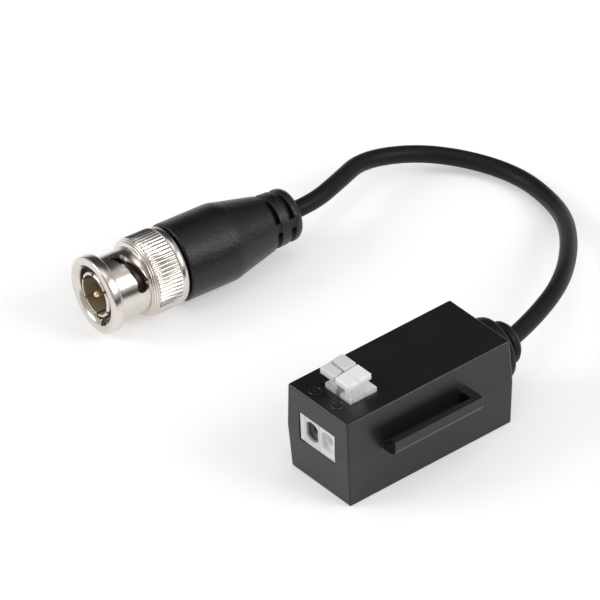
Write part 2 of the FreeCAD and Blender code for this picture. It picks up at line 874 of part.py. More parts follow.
def cut_cams(body):
    """Two entry channels, each with a ramp, a slanted cam slot through the neck and a lock notch."""
    channels = rectangle("-channel_radius", "channel_radius", "-channel_width / 2", "channel_width / 2")
    turn = (FreeCAD.Vector(0, 0, 1), number("channel_angle"))
    slab(body, "Pocket", "front", "0", "cam_front", [channels], turn)
    middle = "(cam_start + cam_end) / 2"
    line = [("cam_back", "cam_end"), ("cam_bend", "cam_turn"), ("cam_front", "cam_start")]
    across = "neck_radius * sin(%s - " + middle + ")"
    near = [(place + " - cam_width / 2", across % angle) for place, angle in line]
    far = [(place + " + cam_width / 2", across % angle) for place, angle in reversed(line)]
    through = "nut_radius + cam_width"
    cam = radial_pocket(body, middle, through, [near + far])
    notch = radial_pocket(body, "notch_angle", through, [("notch_place", "0", "notch_radius")])
    reach = "channel_radius * sin((channel_angle - cam_start) / 2)"
    ramp_ends = ("cam_front - cam_width / 2", "cam_front + cam_width / 2")
    ramp = rectangle(*ramp_ends, "-" + reach, reach + " + channel_width / 2")
    slope = radial_pocket(body, "(channel_angle + cam_start) / 2", "channel_radius", [ramp])
    repeat_round(body, [cam, notch, slope], 2)


def radial_pocket(body, angle, depth, shapes):
    """Cut outwards from the plug's axis, in the direction of an angle."""
    turn = (FreeCAD.Vector(1, 0, 0), -number(angle))
    sketch = new_sketch(body, "side", "0", shapes, turn)
    pocket = body.newObject("PartDesign::Pocket", body.Name + "_radial")
    pocket.Profile = sketch
    pocket.Reversed = True
    pocket.setExpression("Length", formula(depth))
    return pocket


def make_plug_body():
    """Inner body: a slotted sleeve, a flange, a barrel with a ring seat and a stem for the cable."""
    body = new_body("plug_body")
    profile = [
        ("sleeve_bore", "sleeve_front"),
        ("sleeve_radius - sleeve_wall / 3", "sleeve_front"),
        ("sleeve_radius", "sleeve_front + sleeve_wall / 2"),
        ("sleeve_radius", "body_flange_front"),
        ("body_flange", "body_flange_front"),
        ("body_flange", "body_flange_back"),
        ("barrel_radius", "body_flange_back"),
        ("barrel_radius", "ring_front"),
        ("ring_seat", "ring_front"),
        ("ring_seat", "ring_front + ring_width"),
        ("barrel_radius", "ring_front + ring_width"),
        ("barrel_radius", "barrel_end"),
        ("stem_radius", "barrel_end"),
        ("stem_radius", "stem_end"),
        ("stem_bore", "stem_end"),
        ("stem_bore", "insulator_back"),
        ("sleeve_bore", "insulator_back"),
    ]
    turned(body, "Revolution", "top", profile)
    slot = rectangle("0", "sleeve_radius + sleeve_wall", "-sleeve_slot / 2", "sleeve_slot / 2")
    turn = (FreeCAD.Vector(0, 0, 1), number("sleeve_slot_angle"))
    cut = slab(body, "Pocket", "front", "sleeve_front", "sleeve_front + sleeve_slot_length", [slot], turn)
    repeat_round(body, [cut], SLEEVE_SLOTS)
    return lay_plug(body)


def make_insulator():
    """Insulator that fills the body behind the pin's free end."""
    back = "insulator_back - inner_gap"
    return make_ring("plug_insulator", "insulator_bore", "insulator_radius", "insulator_front", back)


def make_pin():
    """Centre pin with a rounded point and a thicker root in the insulator."""
    body = new_body("center_pin")
    profile = [
        ("0", "pin_tip"),
        ("pin_radius - pin_point", "pin_tip"),
        ("pin_radius", "pin_tip + 1.5 * pin_point"),
        ("pin_radius", "insulator_front"),
        ("pin_root", "insulator_front"),
        ("pin_root", "pin_end"),
        ("0", "pin_end"),
    ]
    turned(body, "Revolution", "top", profile)
    return lay_plug(body)


def make_spring_washer():
    """Cone washer that presses the nut back against its ring."""
    body = new_body("spring_washer")
    front = "body_flange_back + inner_gap"
    back = "washer_front - inner_gap"
    profile = [
        ("washer_bore", front),
        ("washer_bore + spring_thickness", front),
        ("washer_radius", back),
        ("washer_radius - spring_thickness", back),
    ]
    turned(body, "Revolution", "top", profile)
    return lay_plug(body)


def make_retaining_ring():
    """Open ring in the barrel's seat, behind the nut's lip."""
    body = new_body("retaining_ring")
    front = "ring_front + inner_gap"
    back = "ring_front + ring_width - inner_gap"
    turned(body, "Revolution", "top", rectangle("ring_seat + inner_gap", "ring_radius", front, back))
    opening = rectangle("-barrel_radius / 3", "barrel_radius / 3", "0", "2 * ring_radius")
    slab(body, "Pocket", "front", front, back, [opening])
    return lay_plug(body)


def make_boot():
    """Boot: a barrel, a cone and an end that two bridged grooves let bend."""
    body = new_body("plug_boot")
    profile = [
        ("boot_bore", "boot_front"),
        ("boot_radius - boot_round", "boot_front"),
        ("boot_radius", "boot_front + boot_round"),
        ("boot_radius", "boot_shoulder"),
        ("boot_cone_radius", "boot_cone_end"),
        ("boot_groove", "boot_cone_end"),
        ("boot_groove", "boot_ring_front"),
        ("boot_ring", "boot_ring_front"),
        ("boot_ring", "boot_ring_back"),
        ("boot_groove", "boot_ring_back"),
        ("boot_groove", "boot_tip_front"),
        ("boot_tip", "boot_tip_front"),
        ("boot_tip", "boot_end - boot_tip_slope"),
        ("boot_tip_end", "boot_end"),
        ("0", "boot_end"),
        ("0", "boot_bore_end"),
        ("boot_bore", "boot_bore_end"),
    ]
    turned(body, "Revolution", "top", profile)
    bridge = rectangle("-boot_tip", "boot_tip", "-bridge_width / 2", "bridge_width / 2")
    turn = (FreeCAD.Vector(0, 0, 1), number("bridge_angle"))
    slab(body, "Pad", "front", "boot_cone_end", "boot_tip_front", [bridge], turn)
    return lay_plug(body)


def bent_path(points):
    """Straight runs joined by tangent arcs, with the radii of the arcs."""
    edges = []
    radii = []
    start = points[0]
    for before, corner, after in zip(points, points[1:], points[2:]):
        arrive = (corner - before).normalize()
        leave = (after - corner).normalize()
        half_turn = arrive.getAngle(leave) / 2
        reach = 0.45 * min((corner - before).Length, (after - corner).Length)
        radius = reach / math.tan(half_turn)
        radii.append(radius)
        bend_start = corner - arrive * reach
        bend_end = corner + leave * reach
        inward = (leave - arrive).normalize()
        middle = corner + inward * (radius / math.cos(half_turn) - radius)
        edges.append(Part.LineSegment(start, bend_start).toShape())
        edges.append(Part.Arc(bend_start, middle, bend_end).toShape())
        start = bend_end
    edges.append(Part.LineSegment(start, points[-1]).toShape())
    return Part.Wire(edges), radii


def make_tube(label, points, radius):
    """Round lead along a bent path."""
    path, radii = bent_path(points)
    across = Part.Circle(points[0], points[1] - points[0], radius).toShape()
    tube = path.makePipeShell([Part.Wire(across)], True, False)
    wanted = math.pi * radius**2 * path.Length
    print(label, "length %.1f" % path.Length, "radii", ["%.1f" % bend for bend in radii])
    print(label, "volume %.1f of %.1f" % (tube.Volume, wanted))
    feature = doc.addObject("Part::Feature", label)
    feature.Label = label
    feature.Shape = tube
    return feature


def make_cable():
    """Cable from the gland's end to the boot's end."""
    height = number("exit_height")
    direction = plug_direction()
    nut_front = FreeCAD.Vector(number("plug_side"), number("plug_place"), number("plug_height"))
    boot_end = nut_front + direction * number("boot_end")
    points = [FreeCAD.Vector(0, number("gland_end"), height)]
    points += [FreeCAD.Vector(*bend) for bend in CABLE_BENDS]
    points += [boot_end + direction * CABLE_TAIL, boot_end]
    return make_tube("cable", points, number("cable_radius"))


def make_leads():
    """Stripped ends of the core and the braid, from the gland's flange down to the board."""
    leads = []
    start = number("gland_back")
    landing = number("board_back - lead_landing")
    board = number("terminal_floor")
    height = number("exit_height")
    for label, side in (("signal_lead", 1), ("shield_lead", -1)):
        across = side * number("lead_spread")
        points = [
            FreeCAD.Vector(across, start, height),
            FreeCAD.Vector(across, landing, height),
            FreeCAD.Vector(across, landing, board),
        ]
        leads.append(make_tube(label, points, number("lead_radius")))
    return leads


def make_all():
    """Build every sub-part."""
    parts = [make_base(), make_cover(), make_end_plate(), make_board()]
    for side, middle in (("left", "module_left"), ("right", "module_right")):
        parts.append(make_module(side, middle))
        parts.append(make_button(side, middle))
        parts.append(make_spring(side, middle))
        parts.append(make_contact(side, middle))
    parts += make_transformer()
    parts += [make_suppressor(), make_capacitor(), make_gland(), make_cable()]
    parts += make_leads()
    parts += [make_nut(), make_plug_body(), make_insulator(), make_pin()]
    gap = "inner_gap"
    sleeve = "sleeve_radius + " + gap
    parts.append(make_ring("seal_gasket", sleeve, "gasket_radius", "gasket_front", "body_flange_front"))
    washer_back = "washer_front + washer_thickness"
    parts.append(make_ring("thrust_washer", "washer_bore", "washer_radius", "washer_front", washer_back))
    ferrule = ("ferrule_bore", "ferrule_radius", "ferrule_front", "ferrule_back")
    parts.append(make_ring("crimp_ferrule", *ferrule))
    parts += [make_spring_washer(), make_retaining_ring(), make_boot()]
    return parts


def check(parts):
    """Stop if a feature failed, a cut removed nothing or a sub-part is not one valid shape."""
    for item in doc.Objects:
        if "Invalid" in item.State or "Error" in item.State:
            raise RuntimeError("%s failed: %s" % (item.Name, item.State))
        if item.TypeId in ("PartDesign::Pocket", "PartDesign::Groove"):
            if item.Shape.Volume > item.BaseFeature.Shape.Volume - 1e-6:
                raise RuntimeError("%s cuts nothing" % item.Name)
    for part in parts:
        if part.Shape.isNull() or not part.Shape.isValid():
            raise RuntimeError("%s has no valid shape" % part.Label)


def main():
    """Build, check and write the sub-parts."""
    parts = make_all()
    doc.recompute()
    check(parts)
    os.makedirs("parts", exist_ok=True)
    for part in parts:
        print("%-22s solids %d volume %.2f" % (part.Label, len(part.Shape.Solids), part.Shape.Volume))
        part.Shape.exportStep("parts/%s.step" % part.Label)


main()
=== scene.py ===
"""Looks of a CCTV video balun: a small terminal housing, a short lead and a bayonet coaxial plug.

Sizes are in millimetres and turned into metres when a mesh is placed. The housing stands on the floor with
its wire entries towards -Y, and the plug lies to its left.
"""

import logging
import math
from collections.abc import Iterable, Sequence
from dataclasses import dataclass, field
from enum import Enum

import bmesh
import bpy
from mathutils import Matrix, Vector


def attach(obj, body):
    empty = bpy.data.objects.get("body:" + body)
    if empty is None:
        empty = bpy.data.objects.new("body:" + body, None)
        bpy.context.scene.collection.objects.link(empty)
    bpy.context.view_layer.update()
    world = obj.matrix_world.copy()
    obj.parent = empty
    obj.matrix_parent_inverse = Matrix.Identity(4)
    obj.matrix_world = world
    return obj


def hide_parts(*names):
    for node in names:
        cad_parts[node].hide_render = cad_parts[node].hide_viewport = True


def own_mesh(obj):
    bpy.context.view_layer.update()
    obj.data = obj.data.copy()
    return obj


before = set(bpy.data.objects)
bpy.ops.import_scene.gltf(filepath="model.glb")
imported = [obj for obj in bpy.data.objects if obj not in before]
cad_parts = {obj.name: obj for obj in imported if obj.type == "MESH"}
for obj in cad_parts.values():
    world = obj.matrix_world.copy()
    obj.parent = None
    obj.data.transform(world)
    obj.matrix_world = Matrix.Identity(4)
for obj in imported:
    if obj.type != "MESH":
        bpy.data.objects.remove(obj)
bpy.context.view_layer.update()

MM = 0.001
IMAGE_SIDE = 600
MERGE_DISTANCE = 0.0005
LOG = logging.getLogger("balun")

Form = bmesh.types.BMesh
Material = bpy.types.Material
Node = bpy.types.Node
Piece = bpy.types.Object
Socket = bpy.types.NodeSocket
Tree = bpy.types.NodeTree
Inputs = dict[int | str, object]
Profile = Sequence[tuple[float, float]]
Triple = tuple[float, float, float]


class Body(Enum):
    """Rigid bodies of the frame that new pieces ride on."""

    HOUSING = "housing"
    BUTTON_LEFT = "button_left"
    BUTTON_RIGHT = "button_right"
    NUT = "nut"


class Side(Enum):
    """The two halves of the terminal."""

    LEFT = "left"
    RIGHT = "right"


# Node trees


def feed(tree: Tree, node: Node, inputs: Inputs) -> None:
    """Link or set inputs of a node.

    Args:
        tree: tree of the node.
        node: node that gets them.
        inputs: a socket to link or a value to set, for each input's name or number.
    """
    for key, source in inputs.items():
        if isinstance(source, Socket):
            tree.links.new(source, node.inputs[key])
        else:
            node.inputs[key].default_value = source


def add(tree: Tree, kind: str, inputs: Inputs | None = None, **settings: object) -> Node:
    """Add a shader node to a tree.

    Args:
        tree: tree that gets the node.
        kind: node type, without its prefix.
        inputs: what feed takes.
        **settings: properties of the node.

    Returns:
        The node.
    """
    node = tree.nodes.new("ShaderNode" + kind)
    for name, value in settings.items():
        setattr(node, name, value)
    feed(tree, node, inputs or {})
    return node


def spread(tree: Tree, source: Socket, low: float, high: float) -> Socket:
    """Map a value from 0 to 1 onto the range from low to high."""
    inputs = {"Value": source, "To Min": low, "To Max": high}
    return add(tree, "MapRange", inputs).outputs["Result"]


def blend(tree: Tree, factor: Socket, start: object, end: object) -> Socket:
    """Mix two colours, each given as a socket or as four channels."""
    inputs = {"Factor": factor, "A": start, "B": end}
    return add(tree, "Mix", inputs, data_type="RGBA").outputs["Result"]


def tint(color: Triple, share: float = 1.0) -> tuple[float, ...]:
    """Opaque colour at a share of its lightness."""
    return (*(min(1.0, channel * share) for channel in color), 1.0)


def start_material(name: str) -> tuple[Material, Tree, Node]:
    """Make a material with a plain shader.

    Args:
        name: name of the material.

    Returns:
        The material, its node tree and its shader.
    """
    material = bpy.data.materials.new(name)
    material.use_nodes = True
    return material, material.node_tree, material.node_tree.nodes["Principled BSDF"]


def new_group(name: str, inputs: dict[str, float], outputs: Sequence[str]) -> Tree:
    """Make an empty shader node group whose inputs and outputs are numbers.

    Args:
        name: name of the group.
        inputs: inputs with their defaults.
        outputs: names of the outputs.

    Returns:
        The group, with its input and output nodes in place.
    """
    group = bpy.data.node_groups.new(name, "ShaderNodeTree")
    for label, value in inputs.items():
        socket = group.interface.new_socket(label, in_out="INPUT", socket_type="NodeSocketFloat")
        socket.default_value = value
    for label in outputs:
        group.interface.new_socket(label, in_out="OUTPUT", socket_type="NodeSocketFloat")
    group.nodes.new("NodeGroupInput").name = "in"
    group.nodes.new("NodeGroupOutput").name = "out"
    return group


class SharedEffects:
    """Node groups that several finishes use."""

    def __init__(self) -> None:
        """Build the groups."""
        self.grain = self._grain()
        self.lathe_marks = self._lathe_marks()

    def _grain(self) -> Tree:
        """Fine moulded grain with slow changes of gloss.

        Returns:
            Group with the outputs Height and Cloud.
        """
        scales = {"Grain Scale": 3000.0, "Cloud Scale": 120.0}
        group = new_group("moulded_grain", scales, ("Height", "Cloud"))
        place = add(group, "TexCoord").outputs["Object"]
        for name, detail, output in (("Grain Scale", 4.0, "Height"), ("Cloud Scale", 3.0, "Cloud")):
            scale = group.nodes["in"].outputs[name]
            noise = add(group, "TexNoise", {"Vector": place, "Scale": scale, "Detail": detail})
            feed(group, group.nodes["out"], {output: noise.outputs["Fac"]})
        return group

    def _lathe_marks(self) -> Tree:
        """Fine rings that turning leaves, a faint mottle and the distance from the plug's axis.

        Returns:
            Group with the outputs Height, Mottle and Radius.
        """
        scales = {"Ring Scale": 9000.0, "Mottle Scale": 900.0}
        group = new_group("lathe_marks", scales, ("Height", "Mottle", "Radius"))
        plug = PlugPlace()
        given = group.nodes["in"].outputs
        place = add(group, "TexCoord").outputs["Object"]
        shift = add(group, "VectorMath", {0: place, 1: plug.point(0.0)}, operation="SUBTRACT")
        turning = {"Vector": shift.outputs["Vector"], "Rotation": (0.0, 0.0, math.radians(plug.yaw))}
        turn = add(group, "Mapping", turning).outputs["Vector"]
        across = add(group, "VectorMath", {0: turn, 1: (1.0, 0.0, 1.0)}, operation="MULTIPLY")
        radius = add(group, "VectorMath", {0: across.outputs["Vector"]}, operation="LENGTH")
        flat = add(group, "VectorMath", {0: turn, 1: (0.02, 1.0, 0.02)}, operation="MULTIPLY")
        rings = {"Vector": flat.outputs["Vector"], "Scale": given["Ring Scale"], "Detail": 2.0}
        patches = {"Vector": place, "Scale": given["Mottle Scale"]}
        results = {
            "Height": add(group, "TexNoise", rings).outputs["Fac"],
            "Mottle": add(group, "TexNoise", patches).outputs["Fac"],
            "Radius": radius.outputs["Value"],
        }
        feed(group, group.nodes["out"], results)
        return group


@dataclass(frozen=True)
class Moulding:
    """Moulded plastic or rubber.

    Attributes:
        name: name of the material.
        color: linear base colour.
        gloss: lowest and highest roughness.
        grain: how many grains a metre.
        depth: height of the grain in metres.
        strength: strength of the bump.
        glow: subsurface weight, for white plastic that light enters.
        shine: specular level of the surface.
        entry: share of the colour left deep in a wire entry, where the colour darkens as painted shade.
        cloud: darkest and lightest share of the colour.
        scatter: how far red, green and blue light spreads inside, in millimetres.
        shade_from: where along Y the painted shade in the wire entries starts, in metres.
        shade_to: where along Y the painted shade is full, in metres.
        shade_top: height up to which the painted shade reaches, in metres.
    """

    name: str
    color: Triple
    gloss: tuple[float, float] = (0.35, 0.45)
    grain: float = 6000.0
    depth: float = 0.00002
    strength: float = 0.1
    glow: float = 0.0
    shine: float = 0.5
    entry: float = 1.0
    cloud: tuple[float, float] = (0.9, 1.1)
    scatter: Triple = (0.6, 0.6, 0.5)
    shade_from: float = -0.01795
    shade_to: float = -0.0172
    shade_top: float = 0.0135

    def build(self, effects: SharedEffects) -> Material:
        """Make the material.

        Args:
            effects: shared node groups.

        Returns:
            The material.
        """
        material, tree, shader = start_material(self.name)
        grain = add(tree, "Group", {"Grain Scale": self.grain}, node_tree=effects.grain).outputs
        color = blend(tree, grain["Cloud"], *(tint(self.color, share) for share in self.cloud))
        # Deep in a wire entry the colour darkens towards a painted shade.
        if self.entry < 1.0:
            color = blend(tree, self._painted_entry_shade(tree), color, tint(self.color, self.entry))
        relief = {"Height": grain["Height"], "Distance": self.depth, "Strength": self.strength}
        surface = {
            "Base Color": color,
            "Roughness": spread(tree, grain["Cloud"], *self.gloss),
            "Specular IOR Level": self.shine,
            "Subsurface Weight": self.glow,
            "Subsurface Radius": self.scatter,
            "Subsurface Scale": MM,
            "Normal": add(tree, "Bump", relief).outputs["Normal"],
        }
        feed(tree, shader, surface)
        return material

    def _painted_entry_shade(self, tree: Tree) -> Socket:
        """Mask of the painted shade in the wire entries: depth behind the terminal's front face, from 0 to 1,
        below the housing's top.

        Args:
            tree: tree that gets the nodes.

        Returns:
            The socket of the painted shade's mask.
        """
        place = add(tree, "TexCoord").outputs["Object"]
        parts = add(tree, "SeparateXYZ", {"Vector": place}).outputs
        ramp = {"Value": parts["Y"], "From Min": self.shade_from, "From Max": self.shade_to}
        depth = add(tree, "MapRange", ramp, interpolation_type="SMOOTHSTEP").outputs["Result"]
        below = add(tree, "Math", {0: parts["Z"], 1: self.shade_top}, operation="LESS_THAN").outputs["Value"]
        return add(tree, "Math", {0: depth, 1: below}, operation="MULTIPLY").outputs["Value"]


@dataclass(frozen=True)
class Plating:
    """Turned and plated metal.

    Attributes:
        name: name of the material.
        color: linear base colour.
        gloss: lowest and highest roughness.
        depth: height of the lathe marks in metres.
        strength: strength of the bump.
        mottle: darkest and lightest share of the colour.
        bore: distance from the plug's axis, in metres, up to which the metal is painted dark as shade and
            made less metallic.
        bore_shade_color: linear base colour there, a painted shade, brown as a painted reflection of the gold
            pin.
        bore_metallic: how metallic it is there.
    """

    name: str
    color: Triple
    gloss: tuple[float, float] = (0.18, 0.28)
    depth: float = 0.000004
    strength: float = 0.5
    mottle: tuple[float, float] = (0.94, 1.03)
    bore: float = 0.0
    bore_shade_color: Triple = (0.40, 0.32, 0.22)
    bore_metallic: float = 0.25

    def build(self, effects: SharedEffects) -> Material:
        """Make the material.

        Args:
            effects: shared node groups.

        Returns:
            The material.
        """
        material, tree, shader = start_material(self.name)
        marks = add(tree, "Group", node_tree=effects.lathe_marks).outputs
        color = blend(tree, marks["Mottle"], *(tint(self.color, share) for share in self.mottle))
        metallic: float | Socket = 1.0
        # Inside the bore the colour turns to painted shade, brown as a painted reflection of the gold pin.
        if self.bore:
            reach = {0: marks["Radius"], 1: self.bore}
            inside = add(tree, "Math", reach, operation="LESS_THAN").outputs["Value"]
            color = blend(tree, inside, color, tint(self.bore_shade_color))
            metallic = spread(tree, inside, 1.0, self.bore_metallic)
        relief = {"Height": marks["Height"], "Distance": self.depth, "Strength": self.strength}
        surface = {
            "Base Color": color,
            "Metallic": metallic,
            "Roughness": spread(tree, marks["Mottle"], *self.gloss),
            "Normal": add(tree, "Bump", relief).outputs["Normal"],
        }
        feed(tree, shader, surface)
        return material


class Finish(Enum):
    """Every finish of the object."""

    SHELL = Moulding("satin_black_shell", (0.0115, 0.0115, 0.0125), gloss=(0.27, 0.35), strength=0.4)
    # The marks are a little lighter than the shell: a painted sheen.
    MARK = Moulding("raised_mark_painted_sheen", (0.02, 0.02, 0.021), gloss=(0.16, 0.22), shine=0.9)
    SHEATH = Moulding("black_sheath", (0.0125, 0.0125, 0.013), gloss=(0.38, 0.48), strength=0.15, shine=0.16)
    BOOT = Moulding(
        "black_boot",
        (0.008, 0.008, 0.009),
        gloss=(0.24, 0.32),
        grain=3000.0,
        depth=0.00011,
        strength=1.0,
        shine=0.42,
    )
    TERMINAL = Moulding("white_terminal", (0.90, 0.90, 0.88), glow=0.6)
    # The left module and button are the same white plastic painted darker, as painted shade; the left module
    # also has painted shade deep in its wire entry.
    TERMINAL_PAINTED_SHADE = Moulding("white_terminal_painted_shade", (0.76, 0.76, 0.74), glow=0.05, entry=0.14)
    BUTTON = Moulding("white_button", (0.96, 0.96, 0.95), gloss=(0.28, 0.38), glow=0.7)
    BUTTON_PAINTED_SHADE = Moulding("white_button_painted_shade", (0.74, 0.74, 0.73), gloss=(0.28, 0.38), glow=0.1)
    INSULATOR = Moulding("insulator", (0.30, 0.22, 0.13), gloss=(0.3, 0.4))
    GASKET = Moulding("red_gasket", (0.02, 0.003, 0.003), gloss=(0.3, 0.4))
    BOARD = Moulding("green_board", (0.02, 0.12, 0.05), gloss=(0.25, 0.35), strength=0.4)
    FERRITE = Moulding("ferrite", (0.03, 0.03, 0.033), gloss=(0.5, 0.6), strength=0.4)
    CERAMIC = Moulding("ceramic", (0.6, 0.55, 0.45), gloss=(0.2, 0.3), strength=0.4)
    EPOXY = Moulding("dipped_epoxy", (0.03, 0.08, 0.3), gloss=(0.2, 0.3), strength=0.4)
    NICKEL = Plating("nickel_plate", (0.76, 0.71, 0.66))
    # The plug body's nickel, with painted shade inside the sleeve's bore.
    NICKEL_SHADED_BORE = Plating("nickel_body_painted_bore_shade", (0.76, 0.71, 0.66), bore=0.00375)
    GOLD = Plating("gold_plate", (0.95, 0.68, 0.44), gloss=(0.22, 0.32))
    STEEL = Plating("spring_steel", (0.5, 0.49, 0.48), gloss=(0.25, 0.35))
    TINNED = Plating("tinned_metal", (0.6, 0.6, 0.58), gloss=(0.3, 0.4))
    COPPER = Plating("enamelled_copper", (0.6, 0.25, 0.12), gloss=(0.2, 0.3))


class Palette:
    """Makes each material once."""

    def __init__(self) -> None:
        """Build the shared groups."""
        self._effects = SharedEffects()
        self._made: dict[Finish, Material] = {}

    def get(self, finish: Finish) -> Material:
        """Find a finish's material, or make it when it is first asked for.

        Args:
            finish: the finish.

        Returns:
            The material.
        """
        if finish not in self._made:
            self._made[finish] = finish.value.build(self._effects)
        return self._made[finish]


# Mesh helpers


def spin_profile(points: Profile, steps: int) -> Form:
    """Turn a closed profile round the Y axis.

    Args:
        points: corners as radius and place along the axis, in millimetres.
        steps: how many columns of faces.

    Returns:
        The turned form, closed and facing outwards.
    """
    shape = bmesh.new()
    turns = [math.tau * step / steps for step in range(steps)]
    rings = []
    for radius, along in points:
        if radius < MERGE_DISTANCE:
            rings.append([shape.verts.new((0.0, along, 0.0))] * steps)
        else:
            spots = [(radius * math.cos(turn), along, -radius * math.sin(turn)) for turn in turns]
            rings.append([shape.verts.new(spot) for spot in spots])
    # Faces are made in a fixed order, since bmesh.ops.spin orders them differently in each run
    for ring, following in zip(rings, rings[1:] + rings[:1]):
        for step in range(steps):
            after = (step + 1) % steps
            corners = dict.fromkeys((ring[step], following[step], following[after], ring[after]))
            if len(corners) > 2:
                shape.faces.new(corners)
    bmesh.ops.recalc_face_normals(shape, faces=shape.faces)
    return shape


def sharp_edges(shape: Form, least: float) -> list[bmesh.types.BMEdge]:
    """Edges whose faces meet at more than an angle in degrees."""
    limit = math.radians(least)
    return [edge for edge in shape.edges if len(edge.link_faces) == 2 and edge.calc_face_angle(0.0) > limit]


def soften(
    shape: Form, width: float, least: float = 30.0, segments: int = 3, crisp: float | None = None
) -> None:
    """Round the sharp edges of a form.

    Args:
        shape: form to change.
        width: width of the rounding.
        least: smallest angle, in degrees, of an edge that is rounded.
        segments: rows of faces in the rounding.
        crisp: height at which level edges stay sharp, as at a seam.
    """
    edges = sharp_edges(shape, least)
    if crisp is not None:
        edges = [edge for edge in edges if any(abs(corner.co.z - crisp) > 0.01 for corner in edge.verts)]
    bmesh.ops.bevel(
        shape,
        geom=edges,
        offset=width,
        offset_type="OFFSET",
        segments=segments,
        profile=0.5,
        affect="EDGES",
        clamp_overlap=True,
        material=-1,
    )


def add_block(shape: Form, size: Triple, middle: Triple, turn: float = 0.0, axis: str = "Z") -> None:
    """Add a block to a form.

    Args:
        shape: form that gets it.
        size: its size along X, Y and Z.
        middle: its middle before it is turned.
        turn: angle, in degrees, through which it is turned round the origin.
        axis: axis of that turn.
    """
    corners = bmesh.ops.create_cube(shape, size=1.0)["verts"]
    bmesh.ops.scale(shape, vec=size, verts=corners)
    bmesh.ops.translate(shape, vec=middle, verts=corners)
    rotation = Matrix.Rotation(math.radians(turn), 3, axis)
    bmesh.ops.rotate(shape, cent=(0, 0, 0), matrix=rotation, verts=corners)


def to_object(shape: Form, name: str, place: Matrix) -> Piece:
    """Make an object of a form in millimetres, with its place in its mesh.

    Args:
        shape: form, which is freed.
        name: name of the piece.
        place: where the form goes, in metres.

    Returns:
        The object, at the origin.
    """
    shape.transform(place @ Matrix.Scale(MM, 4))
    mesh = bpy.data.meshes.new(name)
    shape.to_mesh(mesh)
    shape.free()
    piece = bpy.data.objects.new(name, mesh)
    bpy.context.scene.collection.objects.link(piece)
    return piece


def apply_modifiers(piece: Piece) -> None:
    """Turn a piece's modifiers into its mesh.

    Args:
        piece: piece to change.
    """
    bpy.context.view_layer.update()
    evaluated = piece.evaluated_get(bpy.context.evaluated_depsgraph_get())
    mesh = bpy.data.meshes.new_from_object(evaluated)
    piece.modifiers.clear()
    piece.data = mesh


def carve(piece: Piece, cutters: Iterable[Piece]) -> None:
    """Cut forms out of a piece and remove them.

    Args:
        piece: piece to cut.
        cutters: closed forms.

    Raises:
        RuntimeError: where nothing of the piece is left.
    """
    tools = list(cutters)
    for tool in tools:
        cut = piece.modifiers.new(tool.name, "BOOLEAN")
        cut.operation = "DIFFERENCE"
        cut.solver = "EXACT"
        cut.object = tool
    apply_modifiers(piece)
    if not piece.data.polygons:
        raise RuntimeError("cutting %s left nothing of it" % piece.name)
    for tool in tools:
        mesh = tool.data
        bpy.data.objects.remove(tool)
        bpy.data.meshes.remove(mesh)


def shade(piece: Piece, angle: float = 35.0) -> None:
    """Shade a piece smooth, with its large faces kept flat.

    Args:
        piece: piece to shade.
        angle: angle, in degrees, past which an edge stays crisp.
    """
    piece.data.shade_smooth()
    piece.data.set_sharp_from_angle(angle=math.radians(angle))
    weigh = piece.modifiers.new("large_faces_flat", "WEIGHTED_NORMAL")
    weigh.keep_sharp = True
    apply_modifiers(piece)


def turned(
    name: str, profile: Profile, steps: int, place: Matrix, angle: float = 35.0, **rounding: float
) -> Piece:
    """Turn a piece, round its edges and shade it.

    Args:
        name: name of the piece.
        profile: its section, as spin_profile takes it.
        steps: how many columns of faces.
        place: where it goes, in metres.
        angle: angle, in degrees, past which an edge stays crisp.
        **rounding: what soften takes, or nothing where the profile has its own rounding.

    Returns:
        The piece.
    """
    shape = spin_profile(profile, steps)
    if rounding:
        soften(shape, **rounding)
    piece = to_object(shape, name, place)
    shade(piece, angle)
    return piece


def copy_node(node: str) -> Form:
    """Merged copy of a frame node, in millimetres.

    Args:
        node: name of the node.

    Returns:
        The copy, with its flat faces joined.
    """
    shape = bmesh.new()
    shape.from_mesh(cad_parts[node].data)
    shape.transform(Matrix.Scale(1.0 / MM, 4))
    bmesh.ops.remove_doubles(shape, verts=shape.verts, dist=MERGE_DISTANCE)
    bmesh.ops.dissolve_limit(
        shape,
        angle_limit=math.radians(1.0),
        verts=shape.verts,
        edges=shape.edges,
        delimit={"NORMAL"},
    )
    return shape


@dataclass(frozen=True)
class Press:
    """How a spring flattens as a joint moves.

    Attributes:
        joint: joint that presses it; not used.
        axis: direction in which it flattens; not used.
        anchor: point that stays in place, in metres; not used.
        length: length of the spring at rest, in millimetres; not used.
        pressed: its length at the joint's limit, in millimetres; not used.
    """

    joint: str
    axis: Sequence[float]
    anchor: Sequence[float]
    length: float
    pressed: float


